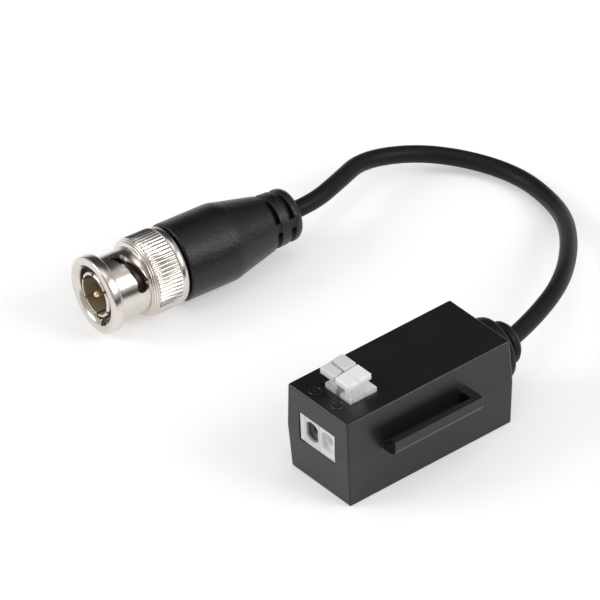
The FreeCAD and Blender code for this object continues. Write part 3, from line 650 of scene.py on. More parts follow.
@dataclass
class Workshop:
    """Dresses pieces and puts them on their bodies.

    Attributes:
        palette: makes the materials.
        crease: angle, in degrees, past which an edge of a spring stays crisp.
    """

    palette: Palette
    crease: float = 30.0

    def finish_piece(
        self, piece: Piece, finish: Finish, body: Body, nodes: Sequence[str] = ()
    ) -> Piece:
        """Give a piece its material and body, and hide the frame nodes that it stands for.

        Args:
            piece: the piece.
            finish: its finish.
            body: body that it rides on.
            nodes: frame nodes that it replaces.

        Returns:
            The piece.
        """
        piece.data.materials.clear()
        piece.data.materials.append(self.palette.get(finish))
        if nodes:
            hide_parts(*nodes)
        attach(piece, body.value)
        LOG.info("piece %s on %s", piece.name, body.value)
        return piece

    def add_spring(self, node: str) -> Piece:
        """Stand a steel copy in for a spring.

        Args:
            node: frame node of the spring.

        Returns:
            The copy.
        """
        piece = to_object(copy_node(node), node + "_sprung", Matrix.Identity(4))
        shade(piece, self.crease)
        self.finish_piece(piece, Finish.STEEL, Body.HOUSING, [node])
        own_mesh(piece)
        return piece

    def paint_nodes(self, finishes: dict[str, Finish]) -> None:
        """Give frame nodes their materials.

        Args:
            finishes: finish of each node.
        """
        for node, finish in finishes.items():
            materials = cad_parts[node].data.materials
            materials.clear()
            materials.append(self.palette.get(finish))
            LOG.info("node %s in %s", node, finish.value.name)


# The plug


@dataclass(frozen=True)
class PlugPlace:
    """Where the plug lies: the middle of the nut's front face, and the turn of its axis from +Y."""

    side: float = -61.05
    along: float = -19.1
    height: float = 7.32
    yaw: float = 5.1

    def matrix(self) -> Matrix:
        """Placement of the plug's own frame, in metres."""
        shift = Matrix.Translation(Vector((self.side, self.along, self.height)) * MM)
        return shift @ Matrix.Rotation(-math.radians(self.yaw), 4, "Z")

    def point(self, distance: float) -> Vector:
        """Point on the axis, in metres, at a distance in millimetres behind the nut's front face."""
        return self.matrix() @ Vector((0.0, distance * MM, 0.0))


@dataclass
class CouplingNut:
    """Bayonet nut: flange, neck with two slanted cam slots, collar, grip and rear band.

    Radii and places along the axis are in millimetres, and places start at the front face.
    """

    radius: float = 7.2
    grip: float = 7.3
    mouth: float = 4.9
    neck: float = 6.0
    neck_end: float = 8.5
    cavity: float = 6.0
    cavity_front: float = 8.7
    skirt: float = 6.3
    lip: float = 4.55
    lip_front: float = 13.0
    lip_back: float = 14.2
    flange: float = 2.05
    length: float = 15.9
    teeth: int = 60
    columns: int = 4
    groove: float = 0.32
    grip_front: float = 9.6
    grip_back: float = 14.2
    # Corners of the collar's stepped bead: their radii, and their places behind the neck's end
    collar_bead: Profile = (
        (6.7, 0.0),
        (6.85, 0.06),
        (6.9, 0.2),
        (6.82, 0.32),
        (6.9, 0.36),
        (7.08, 0.42),
        (7.14, 0.55),
        (7.06, 0.66),
        (7.12, 0.7),
        (7.26, 0.76),
    )
    channel_radius: float = 5.6
    channel_width: float = 2.2
    channel_angle: float = 121.0
    cam_width: float = 2.1
    # Middle of the cam slot: places along the axis, with their angles in degrees
    cam_line: Profile = ((7.25, 28.0), (5.5, 88.0), (4.7, 103.0))
    notch_radius: float = 1.05
    notch_place: float = 6.85
    notch_angle: float = 21.0
    notch_steps: int = 40
    crease: float = 62.0

    def build(self, shop: Workshop, place: PlugPlace) -> Piece:
        """Make the nut.

        Args:
            shop: dresses the piece.
            place: where the plug lies.

        Returns:
            The nut.
        """
        shape = spin_profile(self._profile(), self.teeth * self.columns)
        self._cut_grip(shape)
        nut = to_object(shape, "nut_turned", place.matrix())
        carve(nut, self._cutters(place))
        shade(nut, self.crease)
        return shop.finish_piece(nut, Finish.NICKEL, Body.NUT, ["coupling_nut"])

    def _profile(self) -> list[tuple[float, float]]:
        """Section of the nut, from the mouth outwards and round.

        Returns:
            Corners as radius and place along the axis.
        """
        start = self.neck_end
        low = self.grip - self.groove
        band = self.grip - 0.15
        return [
            (self.mouth + 0.8, 0.05),
            (self.mouth + 0.95, 0.0),
            (self.radius - 0.4, 0.0),
            (self.radius - 0.17, 0.07),
            (self.radius - 0.04, 0.22),
            (self.radius, 0.45),
            (self.radius, self.flange - 0.3),
            (self.radius - 0.08, self.flange - 0.08),
            (self.radius - 0.25, self.flange),
            (self.neck + 0.15, self.flange + 0.05),
            (self.neck + 0.03, self.flange + 0.12),
            (self.neck, self.flange + 0.3),
            (self.neck, start - 0.1),
            (self.neck + 0.1, start),
            *((radius, start + along) for radius, along in self.collar_bead),
            (self.grip, start + 0.84),
            (self.grip, self.grip_front - 0.22),
            (low, self.grip_front - 0.18),
            (low, self.grip_front - 0.04),
            (self.grip, self.grip_front),
            (self.grip, self.grip_back),
            (low, self.grip_back + 0.06),
            (low, self.grip_back + 0.16),
            (band - 0.06, self.grip_back + 0.24),
            (band, self.grip_back + 0.4),
            (band, self.length - 0.75),
            (band - 0.1, self.length - 0.35),
            (band - 0.3, self.length - 0.1),
            (band - 0.55, self.length),
            (self.skirt, self.length),
            (self.skirt, self.lip_back),
            (self.lip, self.lip_back),
            (self.lip, self.lip_front),
            (self.cavity, self.lip_front),
            (self.cavity, self.cavity_front),
            (self.mouth, self.cavity_front),
            (self.mouth, 0.75),
        ]

    def _cut_grip(self, shape: Form) -> None:
        """Press a groove between each two teeth of the grip.

        Args:
            shape: the turned nut.
        """
        near = 0.01
        tooth = math.tau / self.teeth
        for corner in shape.verts:
            radius = math.hypot(corner.co.x, corner.co.z)
            on_grip = self.grip_front - near < corner.co.y < self.grip_back + near
            if abs(radius - self.grip) > near or not on_grip:
                continue
            turn = math.atan2(corner.co.z, corner.co.x) / tooth
            fall = 2 * abs(turn - round(turn))
            scale = 1.0 - self.groove * fall**1.7 / radius
            corner.co.x *= scale
            corner.co.z *= scale

    def _cutters(self, place: PlugPlace) -> list[Piece]:
        """Forms that open the entry channels, the cam slots and the lock notches.

        Args:
            place: where the plug lies.

        Returns:
            Two of each form, on opposite sides of the axis.
        """
        front, start = self.cam_line[-1]
        wide, through = self.channel_width / 2, self.grip + 1.0
        near, far = front - self.cam_width / 2, front + self.cam_width / 2
        channel = [(-1.0, -wide), (front, -wide), (front, wide), (-1.0, wide)]
        ramp_middle = (self.channel_angle + start) / 2
        reach = self.channel_radius * math.sin(math.radians(self.channel_angle - ramp_middle))
        ramp = [(near, -reach), (far, -reach), (far, reach + wide), (near, reach + wide)]
        cam_middle = (self.cam_line[0][1] + start) / 2
        turns = [math.tau * step / self.notch_steps for step in range(self.notch_steps)]
        notch = [
            (self.notch_place + self.notch_radius * math.cos(turn), self.notch_radius * math.sin(turn))
            for turn in turns
        ]
        cutters = []
        for half in (0.0, 180.0):
            for name, outline, outer, angle in (
                ("channel", channel, self.channel_radius, self.channel_angle),
                ("ramp", ramp, self.channel_radius, ramp_middle),
                ("cam", self._cam_outline(cam_middle), through, cam_middle),
                ("notch", notch, through, self.notch_angle),
            ):
                cutters.append(self._prism(outline, outer, angle + half, name, place))
        return cutters

    def _cam_outline(self, middle: float) -> list[tuple[float, float]]:
        """Outline of the cam slot seen along the radius.

        Args:
            middle: angle that it is seen at, in degrees.

        Returns:
            Corners as places along and across the axis.
        """
        half = self.cam_width / 2
        line = [(along, self.neck * math.sin(math.radians(angle - middle))) for along, angle in self.cam_line]
        near = [(along - half, across) for along, across in line]
        return near + [(along + half, across) for along, across in reversed(line)]

    def _prism(
        self, outline: Profile, outer: float, angle: float, name: str, place: PlugPlace
    ) -> Piece:
        """Prism that points outwards from the axis.

        Args:
            outline: corners as places along and across the axis.
            outer: radius that it ends at.
            angle: its direction round the axis, in degrees.
            name: name of the form.
            place: where the plug lies.

        Returns:
            The prism.
        """
        inner = 2.5
        shape = bmesh.new()
        face = shape.faces.new([shape.verts.new((inner, along, across)) for along, across in outline])
        grown = bmesh.ops.extrude_face_region(shape, geom=[face])
        moved = [item for item in grown["geom"] if isinstance(item, bmesh.types.BMVert)]
        bmesh.ops.translate(shape, vec=(outer - inner, 0, 0), verts=moved)
        bmesh.ops.recalc_face_normals(shape, faces=shape.faces)
        shape.transform(Matrix.Rotation(-math.radians(angle), 4, "Y"))
        return to_object(shape, name, place.matrix())


@dataclass
class PlugCore:
    """Inner body of the plug: sleeve, insulator, pin and gasket.

    Radii and places along the axis are in millimetres, and places start at the nut's front face.
    """

    sleeve: float = 4.3
    sleeve_bore: float = 3.7
    sleeve_front: float = 0.4
    slots: int = 6
    slot_angle: float = 37.0
    slot_width: float = 0.5
    slot_end: float = 5.7
    flange: float = 5.7
    flange_front: float = 9.0
    flange_back: float = 10.35
    barrel: float = 4.4
    barrel_back: float = 16.15
    ring_groove: float = 4.0
    ring_front: float = 14.25
    ring_back: float = 14.85
    stem: float = 2.9
    stem_bore: float = 1.2
    stem_back: float = 25.0
    bore_back: float = 14.0
    insulator_bore: float = 0.95
    insulator_front: float = 6.2
    pin: float = 0.675
    pin_point: Profile = ((0.0, 0.3), (0.2, 0.32), (0.4, 0.46), (0.58, 0.75))
    pin_shoulder: float = 1.1
    pin_root: float = 0.9
    pin_back: float = 15.0
    gasket_bore: float = 4.35
    gasket: float = 4.75
    gasket_front: float = 6.6
    edge: float = 0.08
    gasket_edge: float = 0.15
    crease: float = 50.0
    body_steps: int = 96
    ring_steps: int = 64
    pin_steps: int = 48

    def build(self, shop: Workshop, place: PlugPlace) -> list[Piece]:
        """Make the pieces inside the nut.

        Args:
            shop: dresses the pieces.
            place: where the plug lies.

        Returns:
            The pieces.
        """
        insulator_back = self.bore_back - 0.05
        insulator_radius = self.sleeve_bore - 0.05
        insulator = [
            (self.insulator_bore, self.insulator_front),
            (insulator_radius, self.insulator_front),
            (insulator_radius, insulator_back),
            (self.insulator_bore, insulator_back),
        ]
        pin = [
            *self.pin_point,
            (self.pin, self.pin_shoulder),
            (self.pin, self.insulator_front),
            (self.pin_root, self.insulator_front),
            (self.pin_root, self.pin_back),
            (0.0, self.pin_back),
        ]
        gasket = [
            (self.gasket_bore, self.gasket_front),
            (self.gasket, self.gasket_front),
            (self.gasket, self.flange_front),
            (self.gasket_bore, self.flange_front),
        ]
        spot = place.matrix()
        body = self._body(spot)
        ring = turned("insulator_plug", insulator, self.ring_steps, spot, width=self.edge, segments=2)
        contact = turned("contact_pin", pin, self.pin_steps, spot, self.crease)
        seal = turned("sealing_ring", gasket, self.ring_steps, spot, self.crease, width=self.gasket_edge)
        return [
            shop.finish_piece(piece, finish, Body.HOUSING, [node])
            for piece, finish, slot, node in (
                (body, Finish.NICKEL_SHADED_BORE, "nickel", "plug_body"),
                (ring, Finish.INSULATOR, "insulator", "plug_insulator"),
                (contact, Finish.GOLD, "gold", "center_pin"),
                (seal, Finish.GASKET, "gasket", "seal_gasket"),
            )
        ]

    def _body(self, spot: Matrix) -> Piece:
        """Turned body with its slotted sleeve.

        Args:
            spot: where the plug lies, in metres.

        Returns:
            The body, without its finish.
        """
        profile = [
            (self.sleeve_bore, self.sleeve_front),
            (self.sleeve - 0.2, self.sleeve_front),
            (self.sleeve, self.sleeve_front + 0.3),
            (self.sleeve, self.flange_front),
            (self.flange, self.flange_front),
            (self.flange, self.flange_back),
            (self.barrel, self.flange_back),
            (self.barrel, self.ring_front),
            (self.ring_groove, self.ring_front),
            (self.ring_groove, self.ring_back),
            (self.barrel, self.ring_back),
            (self.barrel, self.barrel_back),
            (self.stem, self.barrel_back),
            (self.stem, self.stem_back),
            (self.stem_bore, self.stem_back),
            (self.stem_bore, self.bore_back),
            (self.sleeve_bore, self.bore_back),
        ]
        shape = spin_profile(profile, self.body_steps)
        soften(shape, self.edge, segments=2)
        body = to_object(shape, "plug_core", spot)
        length = self.slot_end - self.sleeve_front + 1.0
        size = (2 * self.sleeve + 2, length, self.slot_width)
        cutters = []
        for index in range(self.slots // 2):
            slot = bmesh.new()
            turn = -self.slot_angle - 360.0 * index / self.slots
            add_block(slot, size, (0.0, self.slot_end - length / 2, 0.0), turn, "Y")
            cutters.append(to_object(slot, "sleeve_slot_%d" % index, spot))
        carve(body, cutters)
        shade(body)
        return body


@dataclass
class Boot:
    """Moulded boot behind the plug, with two bridged grooves near its end.

    Radii and places along the axis are in millimetres, and places start at the nut's front face.
    """

    bore: float = 3.5
    bore_end: float = 25.5
    front: float = 16.2
    radius: float = 7.3
    shoulder: float = 27.0
    cone_radius: float = 5.25
    cone_end: float = 35.7
    groove: float = 3.7
    groove_length: float = 0.8
    groove_flare: float = 0.15
    ring: float = 5.05
    ring_length: float = 2.2
    tip: float = 4.9
    length: float = 41.4
    hole: float = 1.65
    bridge_width: float = 1.7
    bridge_angle: float = 17.0
    edge: float = 0.12
    least: float = 50.0
    crease: float = 50.0
    steps: int = 96

    def build(self, shop: Workshop, place: PlugPlace) -> Piece:
        """Make the boot.

        Args:
            shop: dresses the piece.
            place: where the plug lies.

        Returns:
            The boot.
        """
        ring_front = self.cone_end + self.groove_length
        ring_back = ring_front + self.ring_length
        tip_front = ring_back + self.groove_length
        flare = self.groove_flare
        profile = [
            (self.bore, self.front),
            (self.radius - 0.35, self.front),
            (self.radius - 0.1, self.front + 0.1),
            (self.radius, self.front + 0.35),
            (self.radius, self.shoulder - 0.8),
            (self.radius - 0.03, self.shoulder - 0.3),
            (self.radius - 0.12, self.shoulder + 0.3),
            (self.radius - 0.3, self.shoulder + 0.9),
            (self.cone_radius, self.cone_end - flare),
            (self.groove, self.cone_end - flare),
            (self.groove, ring_front + flare),
            (self.ring, ring_front + flare),
            (self.ring - 0.08, ring_back - flare),
            (self.groove, ring_back - flare),
            (self.groove, tip_front + flare),
            (self.tip, tip_front + flare),
            (self.tip, self.length - 1.1),
            (self.tip - 0.15, self.length - 0.6),
            (self.tip - 0.5, self.length - 0.15),
            (self.tip - 1.0, self.length),
            (self.hole, self.length),
            (self.hole, self.length - 1.0),
            (0.0, self.length - 1.0),
            (0.0, self.bore_end),
            (self.bore, self.bore_end),
        ]
        shape = spin_profile(profile, self.steps)
        soften(shape, self.edge, least=self.least)
        for side in (-1, 1):
            self._bridge(shape, side, tip_front)
        piece = to_object(shape, "moulded_boot", place.matrix())
        shade(piece, self.crease)
        return shop.finish_piece(piece, Finish.BOOT, Body.HOUSING, ["plug_boot"])

    def _bridge(self, shape: Form, side: int, tip_front: float) -> None:
        """Add the web that crosses the grooves on one side.

        Args:
            shape: the turned boot.
            side: -1 or 1, for the side of the axis.
            tip_front: where the boot's last ring starts.
        """
        inner, outer = self.groove - 0.3, self.tip - 0.05
        start, end = self.cone_end - 2 * self.groove_flare, tip_front + 2 * self.groove_flare
        size = (outer - inner, end - start, self.bridge_width)
        middle = (side * (inner + outer) / 2, (start + end) / 2, 0.0)
        add_block(shape, size, middle, -self.bridge_angle, "Y")


@dataclass
class Plug:
    """The whole plug.

    Attributes:
        place: where it lies.
        nut: its coupling nut.
        core: the pieces inside the nut.
        boot: the boot behind the nut.
        spring_front: where the spring washer starts behind the nut's front face.
        spring_length: length of the spring washer at rest; not used.
        spring_pressed: its length when the nut is drawn forward; not used.
    """

    place: PlugPlace = field(default_factory=PlugPlace)
    nut: CouplingNut = field(default_factory=CouplingNut)
    core: PlugCore = field(default_factory=PlugCore)
    boot: Boot = field(default_factory=Boot)
    spring_front: float = 10.4
    spring_length: float = 1.9
    spring_pressed: float = 0.9

    def build(self, shop: Workshop) -> list[Piece | str]:
        """Make the plug.

        Args:
            shop: dresses the pieces.

        Returns:
            The pieces and frame nodes that are on the cable.
        """
        pieces: list[Piece | str] = [self.nut.build(shop, self.place)]
        pieces += self.core.build(shop, self.place)
        pieces.append(self.boot.build(shop, self.place))
        axis = self.place.point(1.0) - self.place.point(0.0)
        anchor = self.place.point(self.spring_front)
        pieces.append(shop.add_spring("spring_washer"))
        rings = {
            "thrust_washer": Finish.NICKEL,
            "retaining_ring": Finish.STEEL,
            "crimp_ferrule": Finish.NICKEL,
        }
        shop.paint_nodes(rings)
        return pieces + list(rings)


# The lead


@dataclass
class Cable:
    """Coaxial lead from the gland to the boot.

    Attributes:
        diameter: in millimetres.
        length: its real length from the gland to the boot, in millimetres; not used.
        exit: where it leaves the gland.
        bends: control points of its route.
        tail: how far behind the boot it still runs along the plug's axis.
        section_steps: resolution of its round section.
        run_steps: resolution of each run between two control points.
    """

    diameter: float = 3.2
    length: float = 116.2
    exit: Triple = (0.0, 24.4, 10.0)
    bends: tuple[Triple, ...] = (
        (-1.6, 30.8, 10.0),
        (-7.1, 42.8, 9.9),
        (-20.1, 55.5, 6.0),
        (-33.0, 63.6, 1.9),
        (-46.7, 64.7, 1.7),
        (-59.1, 56.4, 3.3),
        (-62.9, 43.6, 6.0),
        (-58.8, 34.3, 7.4),
    )
    tail: float = 5.0
    section_steps: int = 8
    run_steps: int = 24

    def build(self, shop: Workshop, place: PlugPlace, boot: Boot) -> Piece:
        """Lay the cable.

        Args:
            shop: dresses the piece.
            place: where the plug lies.
            boot: boot that the cable ends in.

        Returns:
            The cable.
        """
        points = [Vector(self.exit) * MM]
        points += [Vector(bend) * MM for bend in self.bends]
        points += [place.point(boot.length + self.tail), place.point(boot.length)]
        curve = bpy.data.curves.new("lead", "CURVE")
        curve.dimensions = "3D"
        curve.bevel_depth = self.diameter / 2 * MM
        curve.bevel_resolution = self.section_steps
        curve.resolution_u = self.run_steps
        spline = curve.splines.new("NURBS")
        spline.points.add(len(points) - 1)
        for point, target in zip(spline.points, points):
            point.co = (*target, 1.0)
        spline.order_u = 3
        spline.use_endpoint_u = True
        piece = bpy.data.objects.new("coaxial_lead", curve)
        bpy.context.scene.collection.objects.link(piece)
        return shop.finish_piece(piece, Finish.SHEATH, Body.HOUSING, ["cable"])


@dataclass
class Gland:
    """Strain relief at the back of the housing: a plate inside, a wide ring and a narrow one behind it.

    Radii and places along Y are in millimetres.
    """

    height: float = 10.0
    plate: float = 4.4
    plate_front: float = 15.42
    plate_back: float = 16.42
    neck: float = 3.4
    start: float = 18.38
    ring: float = 6.0
    ring_length: float = 3.1
    groove: float = 3.5
    groove_length: float = 1.0
    tip: float = 4.0
    hole: float = 1.65
    end: float = 24.4
    edge: float = 0.2
    least: float = 40.0
    crease: float = 50.0
    steps: int = 96

    def build(self, shop: Workshop) -> Piece:
        """Make the gland.

        Args:
            shop: dresses the piece.

        Returns:
            The gland.
        """
        ring_back = self.start + self.ring_length
        tip_front = ring_back + self.groove_length
        profile = [
            (0.0, self.plate_front),
            (self.plate, self.plate_front),
            (self.plate, self.plate_back),
            (self.neck, self.plate_back),
            (self.neck, self.start),
            (self.ring - 0.8, self.start),
            (self.ring - 0.2, self.start + 0.4),
            (self.ring, self.start + 1.0),
            (self.ring, ring_back - 1.0),
            (self.ring - 0.25, ring_back - 0.4),
            (self.ring - 0.8, ring_back),
            (self.groove, ring_back),
            (self.groove, tip_front),
            (self.tip, tip_front),
            (self.tip, self.end - 0.8),
            (self.tip - 0.7, self.end),
            (self.hole, self.end),
            (self.hole, self.end - 1.0),
            (0.0, self.end - 1.0),
        ]
        spot = Matrix.Translation((0, 0, self.height * MM))
        rounding = {"width": self.edge, "least": self.least, "segments": 4}
        piece = turned("strain_relief", profile, self.steps, spot, self.crease, **rounding)
        return shop.finish_piece(piece, Finish.SHEATH, Body.HOUSING, ["cable_gland"])


# The housing


@dataclass
class Housing:
    """The two shells and everything sealed between them.

    Attributes:
        edge: width of the rounding of the shells' edges.
        least: smallest angle, in degrees, of an edge that is rounded.
        crease: angle, in degrees, past which an edge stays crisp.
        seam: height at which the shells meet.
    """

    edge: float = 0.12
    least: float = 40.0
    crease: float = 25.0
    seam: float = 9.0

    def build(self, shop: Workshop) -> None:
        """Dress the shells and the inner pieces.

        Args:
            shop: dresses the pieces.
        """
        for node in ("housing_cover", "housing_base"):
            shape = copy_node(node)
            soften(shape, self.edge, least=self.least, segments=2, crisp=self.seam)
            piece = to_object(shape, node + "_shell", Matrix.Identity(4))
            shade(piece, self.crease)
            shop.finish_piece(piece, Finish.SHELL, Body.HOUSING, [node])
        inner_nodes = {
            "circuit_board": Finish.BOARD,
            "transformer_core": Finish.FERRITE,
            "transformer_winding": Finish.COPPER,
            "surge_suppressor": Finish.CERAMIC,
            "capacitor": Finish.EPOXY,
            "signal_lead": Finish.COPPER,
            "shield_lead": Finish.TINNED,
        }
        shop.paint_nodes(inner_nodes)


@dataclass
class PolarityMarks:
    """Raised rings with a plus and a minus on the housing's top, one for each wire.

    Attributes:
        top: height of the housing's top.
        ring: outer radius of each ring.
        line: width of every line.
        rise: how far the marks stand above the top.
        bar: length of the bars.
        plus: where the plus stands, along X and Y.
        minus: where the minus stands.
        least: smallest angle, in degrees, of an edge that is rounded.
        steps: how many columns of faces a ring has.
    """

    top: float = 17.5
    ring: float = 1.1
    line: float = 0.16
    rise: float = 0.1
    bar: float = 1.0
    plus: tuple[float, float] = (-3.13, -15.9)
    minus: tuple[float, float] = (2.52, -15.7)
    least: float = 60.0
    steps: int = 48

    def build(self, shop: Workshop) -> None:
        """Make both marks.

        Args:
            shop: dresses the pieces.
        """
        low, high, edge = -self.rise / 2, self.rise, self.line / 4
        inner = self.ring - self.line
        profile = [
            (self.ring, low),
            (self.ring, high - edge),
            (self.ring - edge, high),
            (inner + edge, high),
            (inner, high - edge),
            (inner, low),
        ]
        size, middle = (self.bar, self.line, self.rise * 1.5), (0.0, 0.0, self.rise * 0.25)
        for name, place, bars in (("plus_mark", self.plus, 2), ("minus_mark", self.minus, 1)):
            shape = spin_profile(profile, self.steps)
            shape.transform(Matrix.Rotation(math.radians(90), 4, "X"))
            for index in range(bars):
                add_block(shape, size, middle, 90.0 * index)
            soften(shape, edge, least=self.least, segments=2)
            piece = to_object(shape, name, Matrix.Translation(Vector((*place, self.top)) * MM))
            shade(piece)
            shop.finish_piece(piece, Finish.MARK, Body.HOUSING)


@dataclass
class Terminal:
    """White terminal with its two buttons, clamps and contacts.

    Attributes:
        edge: width of the rounding of the white pieces' edges.
        least: smallest angle, in degrees, of an edge that is rounded.
        crease: angle, in degrees, past which an edge stays crisp.
        slot_width: width of the slot in the left button's groove.
        slot_front: where the slot starts along Y.
        slot_floor: height of its bottom.
        slot_inset: how far it stays inside the cap's left edge.
        clamp_length: height of a clamp spring at rest; not used.
        clamp_pressed: its height under a pressed button; not used.
    """

    edge: float = 0.12
    least: float = 40.0
    crease: float = 30.0
    slot_width: float = 0.6
    slot_front: float = -12.53
    slot_floor: float = 21.0
    slot_inset: float = 0.5
    clamp_length: float = 5.45
    clamp_pressed: float = 3.9

    def build(self, shop: Workshop) -> None:
        """Dress the terminal.

        Args:
            shop: dresses the pieces.
        """
        self._soft_copy(shop, "terminal_end_plate", Finish.TERMINAL, Body.HOUSING)
        # The left module and button take the finishes with painted shade.
        for side, body, finish, cap_finish in (
            (Side.LEFT, Body.BUTTON_LEFT, Finish.TERMINAL_PAINTED_SHADE, Finish.BUTTON_PAINTED_SHADE),
            (Side.RIGHT, Body.BUTTON_RIGHT, Finish.TERMINAL, Finish.BUTTON),
        ):
            self._soft_copy(shop, "terminal_module_" + side.value, finish, Body.HOUSING)
            cap = self._soft_copy(shop, "release_button_" + side.value, cap_finish, body)
            if side is Side.LEFT:
                self._deepen_groove(cap)
            spring = "clamp_spring_" + side.value
            shop.add_spring(spring)
            shop.paint_nodes({"contact_" + side.value: Finish.TINNED})

    def _deepen_groove(self, cap: Piece) -> None:
        """Cut a narrow slot into the bottom of a cap's groove, across the cap.

        Args:
            cap: the button.
        """
        corners = [corner.co / MM for corner in cap.data.vertices]
        left, right = min(corner.x for corner in corners), max(corner.x for corner in corners)
        top = max(corner.z for corner in corners)
        size = (right - left, self.slot_width, top - self.slot_floor)
        middle = (
            (left + right) / 2 + self.slot_inset,
            self.slot_front + self.slot_width / 2,
            (top + self.slot_floor) / 2,
        )
        slot = bmesh.new()
        add_block(slot, size, middle)
        carve(cap, [to_object(slot, "groove_slot", Matrix.Identity(4))])
        shade(cap, self.crease)

    def _soft_copy(self, shop: Workshop, node: str, finish: Finish, body: Body) -> Piece:
        """Stand a copy with rounded edges in for a frame node.

        Args:
            shop: dresses the piece.
            node: name of the node.
            finish: finish of the copy.
            body: body that it rides on.

        Returns:
            The copy.
        """
        shape = copy_node(node)
        soften(shape, self.edge, least=self.least)
        piece = to_object(shape, node + "_moulded", Matrix.Identity(4))
        shade(piece, self.crease)
        return shop.finish_piece(piece, finish, body, [node])


# The studio


@dataclass
class Camera:
    """Camera at the photograph's angle.

    Attributes:
        azimuth: degrees from -Y towards +X.
        elevation: degrees above the floor.
        roll: degrees.
        distance: from the frame's origin, in millimetres.
        scale: pixels for a millimetre at the origin.
        origin_pixel: where the origin shows in the picture.
        sensor: width of the picture on the sensor, in millimetres.
        reach: nearest and farthest distance that shows, in metres.
    """

    azimuth: float = 51.496
    elevation: float = 37.33
    roll: float = -1.977
    distance: float = 1500.0
    scale: float = 5.831
    origin_pixel: tuple[float, float] = (401.857, 443.573)
    sensor: float = 36.0
    reach: tuple[float, float] = (0.1, 20.0)

    def build(self) -> None:
        """Make the camera, aimed so that the origin shows at its pixel without any shift."""
        turn, tilt, roll = (math.radians(value) for value in (self.azimuth, self.elevation, self.roll))
        back = Vector((math.sin(turn) * math.cos(tilt), -math.cos(turn) * math.cos(tilt), math.sin(tilt)))
        flat_right = Vector((math.cos(turn), math.sin(turn), 0.0))
        flat_up = back.cross(flat_right)
        right = flat_right * math.cos(roll) + flat_up * math.sin(roll)
        up = flat_up * math.cos(roll) - flat_right * math.sin(roll)
        pixels = self.scale * self.distance
        aside, above = (IMAGE_SIDE / 2 - pixel for pixel in self.origin_pixel)
        sight = right * (aside / pixels) - up * (above / pixels)
        away = (back - sight).normalized()
        right = (right - away * right.dot(away)).normalized()
        up = away.cross(right)
        data = bpy.data.cameras.new("camera")
        data.sensor_width = self.sensor
        data.lens = pixels * self.sensor / IMAGE_SIDE
        data.clip_start, data.clip_end = self.reach
        camera = bpy.data.objects.new("camera", data)
        place = Matrix((right, up, away)).transposed().to_4x4()
        place.translation = back * self.distance * MM
        camera.matrix_world = place
        bpy.context.scene.collection.objects.link(camera)
        bpy.context.scene.camera = camera


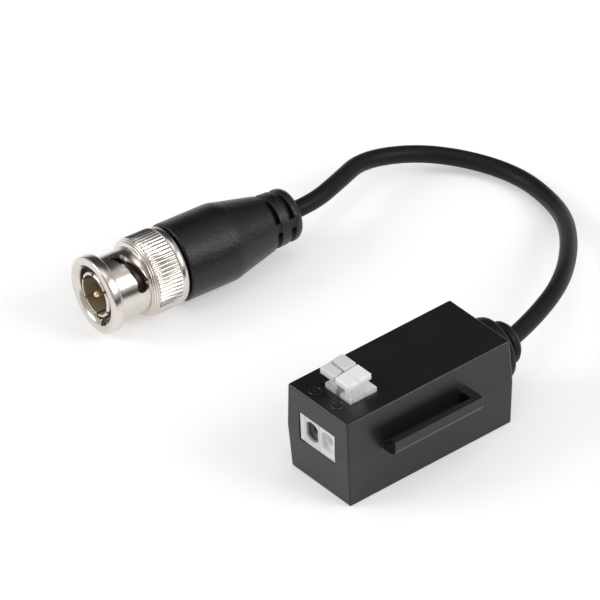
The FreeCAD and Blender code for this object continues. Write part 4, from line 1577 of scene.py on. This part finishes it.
@dataclass
class Studio:
    """Pale floor, soft boxes and the dark card that the top faces mirror.

    Attributes:
        floor_side: side of the floor, in metres.
        floor_color: linear grey of the floor.
        floor_rough: roughness of the floor.
        floor_shine: specular level of the floor.
        floor_glow: how far the camera and glossy pieces see the floor lifted towards white.
        world_fill: strength of the world's light.
        card_color: linear grey of the card.
        middle: point that the lamps and the card face, in metres.
    """

    floor_side: float = 6.0
    floor_color: float = 0.8
    floor_rough: float = 0.9
    floor_shine: float = 0.1
    floor_glow: float = 0.36
    world_fill: float = 0.45
    card_color: float = 0.02
    middle: Triple = (-0.025, 0.02, 0.0)

    def build(self) -> None:
        """Make the floor, the world, the lamps and the card."""
        bpy.context.scene.view_settings.view_transform = "Standard"
        self._world()
        self._floor()
        self._lamp("key", (-0.55, -0.7, 0.52), size=0.45, power=3.2)
        self._lamp("side", (0.66, 0.42, 0.6), size=0.45, power=3.2)
        self._lamp("top", (0.1, 0.1, 1.1), size=0.6, power=1.2)
        self._card("dark_card", (-0.66, 0.53, 0.65), size=1.1)

    @staticmethod
    def _seen_by(tree: Tree, ray: str) -> Socket:
        """Find the rays that see a thing directly.

        Args:
            tree: tree that gets the nodes.
            ray: kind of ray that counts beside the camera's.

        Returns:
            Socket that is 1 for those rays and 0 for light.
        """
        path = add(tree, "LightPath").outputs
        inputs = {0: path["Is Camera Ray"], 1: path[ray]}
        return add(tree, "Math", inputs, operation="MAXIMUM").outputs["Value"]

    def _world(self) -> None:
        """White to the camera, grey for light."""
        world = bpy.data.worlds.new("studio")
        bpy.context.scene.world = world
        world.use_nodes = True
        tree = world.node_tree
        seen = self._seen_by(tree, "Is Transmission Ray")
        light = {"Color": tint((1.0, 1.0, 1.0)), "Strength": spread(tree, seen, self.world_fill, 1.0)}
        feed(tree, tree.nodes["Background"], light)

    def _floor(self) -> None:
        """Pale floor that keeps the object's shadow."""
        floor = self._panel("floor", self.floor_side, Matrix.Identity(4))
        material, tree, shader = start_material("pale_floor")
        seen = self._seen_by(tree, "Is Glossy Ray")
        surface = {
            "Base Color": tint((self.floor_color,) * 3),
            "Roughness": self.floor_rough,
            "Specular IOR Level": self.floor_shine,
            "Emission Color": tint((1.0, 1.0, 1.0)),
            "Emission Strength": spread(tree, seen, 0.0, self.floor_glow),
        }
        feed(tree, shader, surface)
        floor.data.materials.append(material)

    def _lamp(self, name: str, place: Triple, size: float, power: float) -> None:
        """Make a square soft box aimed at the object.

        Args:
            name: name of the lamp.
            place: where it hangs, in metres.
            size: its side, in metres.
            power: its power, in watts.
        """
        data = bpy.data.lights.new(name, "AREA")
        data.shape = "SQUARE"
        data.size = size
        data.energy = power
        lamp = bpy.data.objects.new(name, data)
        lamp.matrix_world = self._aim(place)
        bpy.context.scene.collection.objects.link(lamp)

    def _card(self, name: str, place: Triple, size: float) -> None:
        """Make a dark card that shows only in reflections.

        Args:
            name: name of the card.
            place: where it hangs, in metres.
            size: its side, in metres.
        """
        card = self._panel(name, size, self._aim(place))
        material, tree, shader = start_material(name)
        feed(tree, shader, {"Base Color": tint((self.card_color,) * 3)})
        card.data.materials.append(material)
        card.visible_camera = False
        card.visible_diffuse = False
        card.visible_shadow = False

    @staticmethod
    def _panel(name: str, side: float, place: Matrix) -> Piece:
        """Make a flat square.

        Args:
            name: name of the square.
            side: its side, in metres.
            place: where it goes, in metres.

        Returns:
            The square.
        """
        shape = bmesh.new()
        bmesh.ops.create_grid(shape, x_segments=1, y_segments=1, size=side / 2 / MM)
        return to_object(shape, name, place)

    def _aim(self, place: Triple) -> Matrix:
        """Placement at a point that faces the object's middle."""
        turn = (Vector(self.middle) - Vector(place)).to_track_quat("-Z", "Y")
        return Matrix.Translation(place) @ turn.to_matrix().to_4x4()


def main() -> None:
    """Build the scene, with the camera and the cable first."""
    logging.basicConfig(level=logging.INFO, format="%(message)s")
    Camera().build()
    shop = Workshop(Palette())
    plug = Plug()
    cable = Cable()
    lead = cable.build(shop, plug.place, plug.boot)
    pieces = plug.build(shop)
    Gland().build(shop)
    Housing().build(shop)
    PolarityMarks().build(shop)
    Terminal().build(shop)
    Studio().build()


if __name__ == "__main__":
    main()
